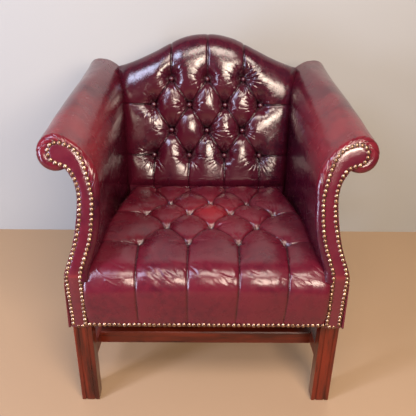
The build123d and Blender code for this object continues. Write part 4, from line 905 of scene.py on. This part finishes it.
def arm_ring(name, inset=0.0, setback=0.0):
    """The cover's outline at a station, in the frame."""
    return in_space(STATIONS[name], arm_outline(name, inset), setback)


def lofted(first, second, third, shares):
    """Rows of points on a smooth surface through three sections."""
    t = shares[:, None, None]
    a = (t - MIDDLE_SHARE) * (t - 1) / MIDDLE_SHARE
    b = t * (t - 1) / (MIDDLE_SHARE * (MIDDLE_SHARE - 1))
    c = t * (t - MIDDLE_SHARE) / (1 - MIDDLE_SHARE)
    return a * first + b * second + c * third


def arm_lift(around, run):
    """How far the hide's waves and the folds behind its nails move it, and the painted shade along the
    folds.
    """
    lift = waves(around / 60, run / 210, 4.0, 3) * 2.0 + waves(around / 22, run / 70, 8.0, 2) * 0.45
    lift = lift * between(run, 10, 70)
    painted_shade = np.zeros(lift.shape)
    for number, start in enumerate(ARM_FOLDS):
        slant = (run + 8) * (0.16 if number % 2 else -0.12)
        away = np.abs(around - start - slant)
        reach = 20.0 + 9.0 * ((number * 37) % 5) / 4
        fade = np.clip(1 - (run + 12) / reach, 0, 1) * (run > -27)
        ridge = 0.5 * np.exp(-((away - 6) ** 2) / 18)
        lift = lift + (ridge - 1.5 * np.exp(-away / 2.2)) * fade
        # Painted shade along each fold
        painted_shade = np.maximum(painted_shade, np.exp(-away / 1.3) * fade * 0.9)
    puckers = waves(around / 4.6, run / 60, 1.0, 2) * 0.35
    return lift + puckers * bell(run + 9, 13), painted_shade


def build_arm():
    """Each arm's stuffed cover, from inside its nailed front edge to the back."""
    edge = np.stack([arm_ring("front", inset, setback) for setback, inset in ARM_EDGE])
    rings = (arm_ring("front", 0.0, ARM_WALL), arm_ring("middle"), arm_ring("back"))
    body = lofted(*rings, np.linspace(0, 1, ARM_LONG) ** 1.15)
    points = np.concatenate([edge, body])
    normals = sheet_normals(points, (len(edge) + 20, 60), 2)
    around = lengths_along(arm_outline("front"))[None, :]
    turned_in = [-inset for _, inset in ARM_EDGE]
    run = np.concatenate([turned_in, lengths_along(body[:, 60])])[:, None]
    lift, painted_shade = arm_lift(around, run)
    points = points + normals * lift[..., None]
    inner = points - normals * ARM_WALL
    for row, (setback, inset) in enumerate(ARM_EDGE_INSIDE):
        inner[row] = arm_ring("front", inset, setback)
    # Painted shade on the cover's lowest band, where it tucks down beside the seat
    tucked_shade = 1 - between(points[..., 2], 376, 396)
    top = eased(between(points[..., 2] - run * FRONT_RAKE * 0.36, 610, 740))
    patches = np.clip(0.72 + fractal(points / 55.0) * 0.9, 0.1, 1)
    wear_and_highlight = top * patches * np.clip(1.15 - run / 520, 0.35, 1)
    faces = grid_faces(*points.shape[:2])
    spots, faces = thickened(points, faces, inner)
    tints = {"painted_shade": np.maximum(painted_shade, tucked_shade * 0.6), "wear_and_highlight": wear_and_highlight}
    nodes = ("arm_cover", "arm_pad")
    for piece in both_sides("arm", spots, faces, hide_arm, nodes, tints):
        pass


def build_outside_arm():
    """The plain panel outside each arm, drawn tight from the roll to its lower edge."""
    rings = []
    for station in STATIONS.values():
        outline = section(station, station.panel, 0.0, BOTTOM, PANEL_COUNTS)
        rings.append(in_space(station, smoothed(even(outline, PANEL_GRID), 4, 2)))
    points = lofted(*rings, np.linspace(0, 1, PANEL_GRID))
    ahead = (points[..., 2] < ELBOW) & (points[..., 1] < FRONT)
    points[..., 1] = np.where(ahead, FRONT, points[..., 1])
    normals = sheet_normals(points, (PANEL_GRID // 2, PANEL_GRID // 2), 0)
    ripple = fractal(points / np.array([90.0, 120.0, 90.0])) * 0.8
    points = points + normals * ((ripple - 0.8) * 0.6)[..., None]
    faces = grid_faces(PANEL_GRID, PANEL_GRID)
    faces = faces_towards(points.reshape(-1, 3), faces, (1.0, 0.0, 0.0))
    spots, faces = thickened(points, faces, points - normals * 2.2)
    both_sides("outside_arm_leather", spots, faces, hide_dark, ("outside_arm",))


# Arm fronts, with the line of their nails across and up, from the outer foot round
NAIL_PATH = (
    (351, 283), (355, 443), (346, 470), (336, 498), (329, 521), (323, 544), (319, 566), (315, 590),
    (314, 609), (313, 630), (314, 651), (319, 673), (328, 694), (335, 705), (345, 712), (358, 715),
    (369, 718), (379, 724), (385, 734), (387, 744), (383, 758), (374, 764), (362, 766), (350, 763),
    (336, 758), (326, 753), (316, 744), (309, 735), (303, 722), (299, 708), (295, 694), (290, 673),
    (285, 650), (283, 628), (284, 605), (286, 582), (288, 558), (292, 535), (297, 515), (304, 495),
    (312, 473), (320, 447), (320, 283),
)
LOW_OUT = np.array([0.0, -1.0, 0.0])
HIGH_OUT = np.array([0.0, -cos(FRONT_RAKE), sin(FRONT_RAKE)])
FACING_MARGIN = 6.0
FACING_BACK = 3.6
NAIL_RADIUS = 6.0
NAIL_HEIGHT = 4.4
NAIL_SIDES = 18
NAIL_PITCH = 12.4
NAIL_ROW_HALF = 309
NAIL_ROW_COUNT = 48
NAIL_ROW_Z = 286.5
FOOT_NAILS = (327.0, 338.0)
FOOT_NAIL_Z = 281.5


def on_front(flat):
    """Points (x, height as seen from the front) carried onto the bent arm front."""
    over = np.maximum(flat[..., 1] - ELBOW, 0)
    return np.stack([flat[..., 0], FRONT + over * tan(FRONT_RAKE), flat[..., 1]], -1)


def front_outward(heights):
    """The outward direction of the arm front at given heights."""
    share = between(heights, ELBOW - 3, ELBOW + 3)[..., None]
    return unit(LOW_OUT * (1 - share) + HIGH_OUT * share)


def build_facing(path):
    """The leather facing of each arm front, a card edge to edge under its nails."""
    tangent = unit(np.gradient(path, axis=0))
    edge = path + np.stack([tangent[:, 1], -tangent[:, 0]], -1) * FACING_MARGIN
    edge = np.concatenate([[[edge[0, 0], BOTTOM]], edge, [[edge[-1, 0], BOTTOM]]])
    edge = spaced(edge, 3.2)
    flat, faces = filled(edge, 4.0)
    from_edge, from_nail = nearest(flat, edge), nearest(flat, path)
    fold = np.exp(-np.abs(flat[:, 1] - ELBOW) / 3.0)
    soft = 3.6 * (1 - np.exp(-from_edge / 11.0)) - 1.2 * bell(from_nail, 4.5)
    uneven = waves(flat[:, 0] / 26, flat[:, 1] / 60, 0.0, 3) * 0.7
    height = 0.4 + soft + uneven * between(from_edge, 0, 10) - 0.9 * fold
    base, out = on_front(flat), front_outward(flat[:, 1])
    skin = base + out * height[:, None]
    faces = faces_towards(skin, faces, LOW_OUT)
    spots, faces = thickened(skin, faces, base - out * FACING_BACK)
    # Painted shade along the nail line, and a painted highlight along the elbow fold
    tints = {"painted_shade": bell(from_nail, 2.5) * 0.35, "wear_and_highlight": 0.45 * fold}
    nodes = ("arm_facing",)
    both_sides("arm_facing_leather", spots, faces, hide_facing, nodes, tints, 50)


def build_nails(path):
    """The brass nails round both facings, along the seat's front and at the arms' feet."""
    length = lengths_along(path)[-1]
    count = int(round(length / NAIL_PITCH))
    places = resampled(path, (np.arange(count) + 0.5) * length / count)
    places = places + rng.normal(0, 0.35, places.shape)
    nails = []
    for side in (1, -1):
        directions = front_outward(places[:, 1])
        centres = on_front(places) + directions * 0.6
        centres[:, 0] *= side
        nails += list(zip(centres, unit(directions + rng.normal(0, 0.05, centres.shape))))
    for x in np.linspace(-NAIL_ROW_HALF, NAIL_ROW_HALF, NAIL_ROW_COUNT):
        spot = np.array([x + rng.normal(0, 0.4), FRONT - 1.4, NAIL_ROW_Z + rng.normal(0, 0.4)])
        nails.append((spot, unit(np.array([0.0, -1.0, 0.02]) + rng.normal(0, 0.04, 3))))
    feet = [side * x for side in (1, -1) for x in FOOT_NAILS]
    nails += [(np.array([x, FRONT - 1.0, FOOT_NAIL_Z]), LOW_OUT) for x in feet]
    heads("front_nails", nails, NAIL_RADIUS, NAIL_HEIGHT, NAIL_SIDES, brass)


# Outside back
OUTER_SHOULDER = 287.0
OUTER_DROP = 5.0  # how far its top edge lies under the rolled crest
ROLL_POINTS = 69


def outer_crest(x):
    """The panel's top edge: the foot of the back's rolled crest, in the panel's plane."""
    up = crest_height(x)
    z = BACK_FOOT_Z + up * cos(BACK_RAKE) - outer_back_gap(up) * sin(BACK_RAKE) - OUTER_DROP
    return np.stack([x, (z - ELBOW) / cos(OUTER_RAKE)], -1)


def build_outside_back():
    """The plain panel that closes the back and the ends of the arm rolls."""
    station = STATIONS["back"]
    side = section(station, station.panel, PANEL_LEATHER, BOTTOM, PANEL_COUNTS)[::-1]
    roll = section(station, station.cover, PANEL_LEATHER, BOTTOM, COVER_COUNTS)[:ROLL_POINTS]
    half = np.concatenate([side, roll])
    mirrored = (half * np.array([-1.0, 1.0]))[::-1]
    crest = outer_crest(np.linspace(OUTER_SHOULDER, -OUTER_SHOULDER, 121))
    edge = np.concatenate([half, crest, mirrored, half[:1]])
    edge = spaced(resampled(edge, np.arange(0, lengths_along(edge)[-1], 5.0)), 4.0)
    flat, faces = filled(edge, 7.0)
    soft = 1 - np.exp(-nearest(flat, edge) / 14.0)
    ripple = waves(flat[:, 0] / 90, flat[:, 1] / 120, 7.0, 3)
    base = in_space(station, flat)
    out = np.array([0.0, cos(OUTER_RAKE), -sin(OUTER_RAKE)])
    skin = base + out * (1.2 + (1.8 + 1.3 * ripple) * soft)[:, None]
    faces = faces_towards(skin, faces, out)
    spots, faces = thickened(skin, faces, base - out * 1.0)
    add_piece("outside_back_leather", spots, faces, hide_dark, ("outside_back",))


# The whole chair
seat_buttons = [(place, np.array([0.0, 0.0, 1.0])) for place in build_seat()]
back_buttons = [(place, BACK_OUT) for place in build_back()]
heads("back_button_heads", back_buttons, 8.0, 6.5, 20, hide_back, ("back_buttons",))
heads("seat_button_heads", seat_buttons, 7.0, 4.0, 20, hide_red, ("seat_buttons",))
build_arm()
build_outside_arm()
nail_line = smoothed(even(np.array(NAIL_PATH, float), 500), 30, 2)
build_facing(nail_line)
build_nails(nail_line)
build_outside_back()

# Floor and wall, which is clear from behind
WALL_Y = 0.60
ROOM_SIZE = 14.0


def stage_plane(name, place, turn, material):
    """A square of floor or wall, which isn't part of the chair."""
    bpy.ops.mesh.primitive_plane_add(size=ROOM_SIZE, location=place, rotation=turn)
    plane = bpy.context.object
    plane.name = name
    plane.data.materials.append(material)
    return plane


floor_material, floor_nodes, _ = new_material("floor")
floor_nodes.shade({"Base Color": (0.345, 0.225, 0.130, 1.0), "Roughness": 0.8})
wall_material, wall_nodes, _ = new_material("wall")
wall_face = wall_nodes.shade({"Base Color": (0.375, 0.372, 0.350, 1.0), "Roughness": 0.9})
from_behind = wall_nodes.add("ShaderNodeNewGeometry", {}).outputs["Backfacing"]
unseen = wall_nodes.add("ShaderNodeBsdfTransparent", {})
sides = {0: from_behind, 1: wall_face.outputs[0], 2: unseen.outputs[0]}
sided = wall_nodes.add("ShaderNodeMixShader", sides)
wall_nodes.fill(wall_nodes.tree.nodes["Material Output"], {"Surface": sided.outputs[0]})
stage_plane("floor", (0, 2.0, 0), (0, 0, 0), floor_material)
wall = stage_plane("wall", (0, WALL_Y, 3.0), (pi / 2, 0, 0), wall_material)
wall.visible_shadow = False

# Room light: dim on the chair, pale where the camera sees past the wall
world = bpy.data.worlds.new("room")
bpy.context.scene.world = world
world.use_nodes = True
room = Nodes(world.node_tree)
dim = {"Color": (0.86, 0.88, 1.0, 1.0), "Strength": 0.12}
ambient = room.fill(room.tree.nodes["Background"], dim)
pale = room.add("ShaderNodeBackground", {"Color": (0.62, 0.61, 0.59, 1.0)})
seen = room.add("ShaderNodeLightPath", {}).outputs["Is Camera Ray"]
either = room.add("ShaderNodeMixShader", {0: seen, 1: ambient.outputs[0], 2: pale.outputs[0]})
room.fill(room.tree.nodes["World Output"], {"Surface": either.outputs[0]})


def lamp(name, place, aim, size, power, colour):
    """A rectangular lamp aimed at a place."""
    light = bpy.data.lights.new(name, "AREA")
    light.shape = "RECTANGLE"
    light.size, light.size_y = size
    light.energy = power
    light.color = colour
    holder = bpy.data.objects.new(name, light)
    holder.location = place
    holder.visible_camera = False
    holder.rotation_euler = (Vector(aim) - Vector(place)).to_track_quat("-Z", "Y").to_euler()
    bpy.context.scene.collection.objects.link(holder)


lamp("warm_top", (0.20, -1.55, 2.70), (0, 0.0, 0.4), (1.5, 0.6), 50.0, (1.0, 0.86, 0.74))
lamp("warm_key", (0.70, -2.50, 1.80), (0, 0, 0.65), (1.30, 0.66), 90.0, (1.0, 0.82, 0.67))
lamp("cool_left", (-1.95, -1.50, 0.85), (0, 0, 0.55), (0.32, 1.4), 60.0, (0.66, 0.74, 1.0))
lamp("cool_high", (-1.35, -1.35, 2.40), (0, 0, 0.4), (0.7, 0.9), 40.0, (0.66, 0.72, 1.0))
lamp("soft_rear", (0.6, 1.6, 2.1), (0, 0.3, 0.5), (1.6, 0.6), 22.0, (1.0, 0.97, 0.92))

# The photograph's camera, fitted to the chair: pixels, radians, and metres from the front plane
PHOTO_WIDTH = 416
SENSOR = 36.0
FOCAL = 573.8854
TILT = 0.508
ROLL = 0.0133
YAW = 0.0125
EYE = (-0.0003, -1.1792, 1.2967)
turn_back = Matrix(((cos(YAW), sin(YAW), 0), (-sin(YAW), cos(YAW), 0), (0, 0, 1)))
right = turn_back @ Vector((1, 0, 0))
up = turn_back @ Vector((0, sin(TILT), cos(TILT)))
cam_right = right * cos(ROLL) + up * sin(ROLL)
cam_up = right * -sin(ROLL) + up * cos(ROLL)
eye = turn_back @ Vector(EYE)
eye.y += FRONT * MM
camera_data = bpy.data.cameras.new("camera")
camera_data.sensor_width = SENSOR
camera_data.lens = FOCAL / PHOTO_WIDTH * SENSOR
camera = bpy.data.objects.new("camera", camera_data)
bpy.context.scene.collection.objects.link(camera)
axes = Matrix((cam_right, cam_up, cam_right.cross(cam_up))).transposed()
camera.matrix_world = Matrix.Translation(eye) @ axes.to_4x4()
bpy.context.scene.camera = camera
bpy.context.scene.view_settings.view_transform = "Standard"
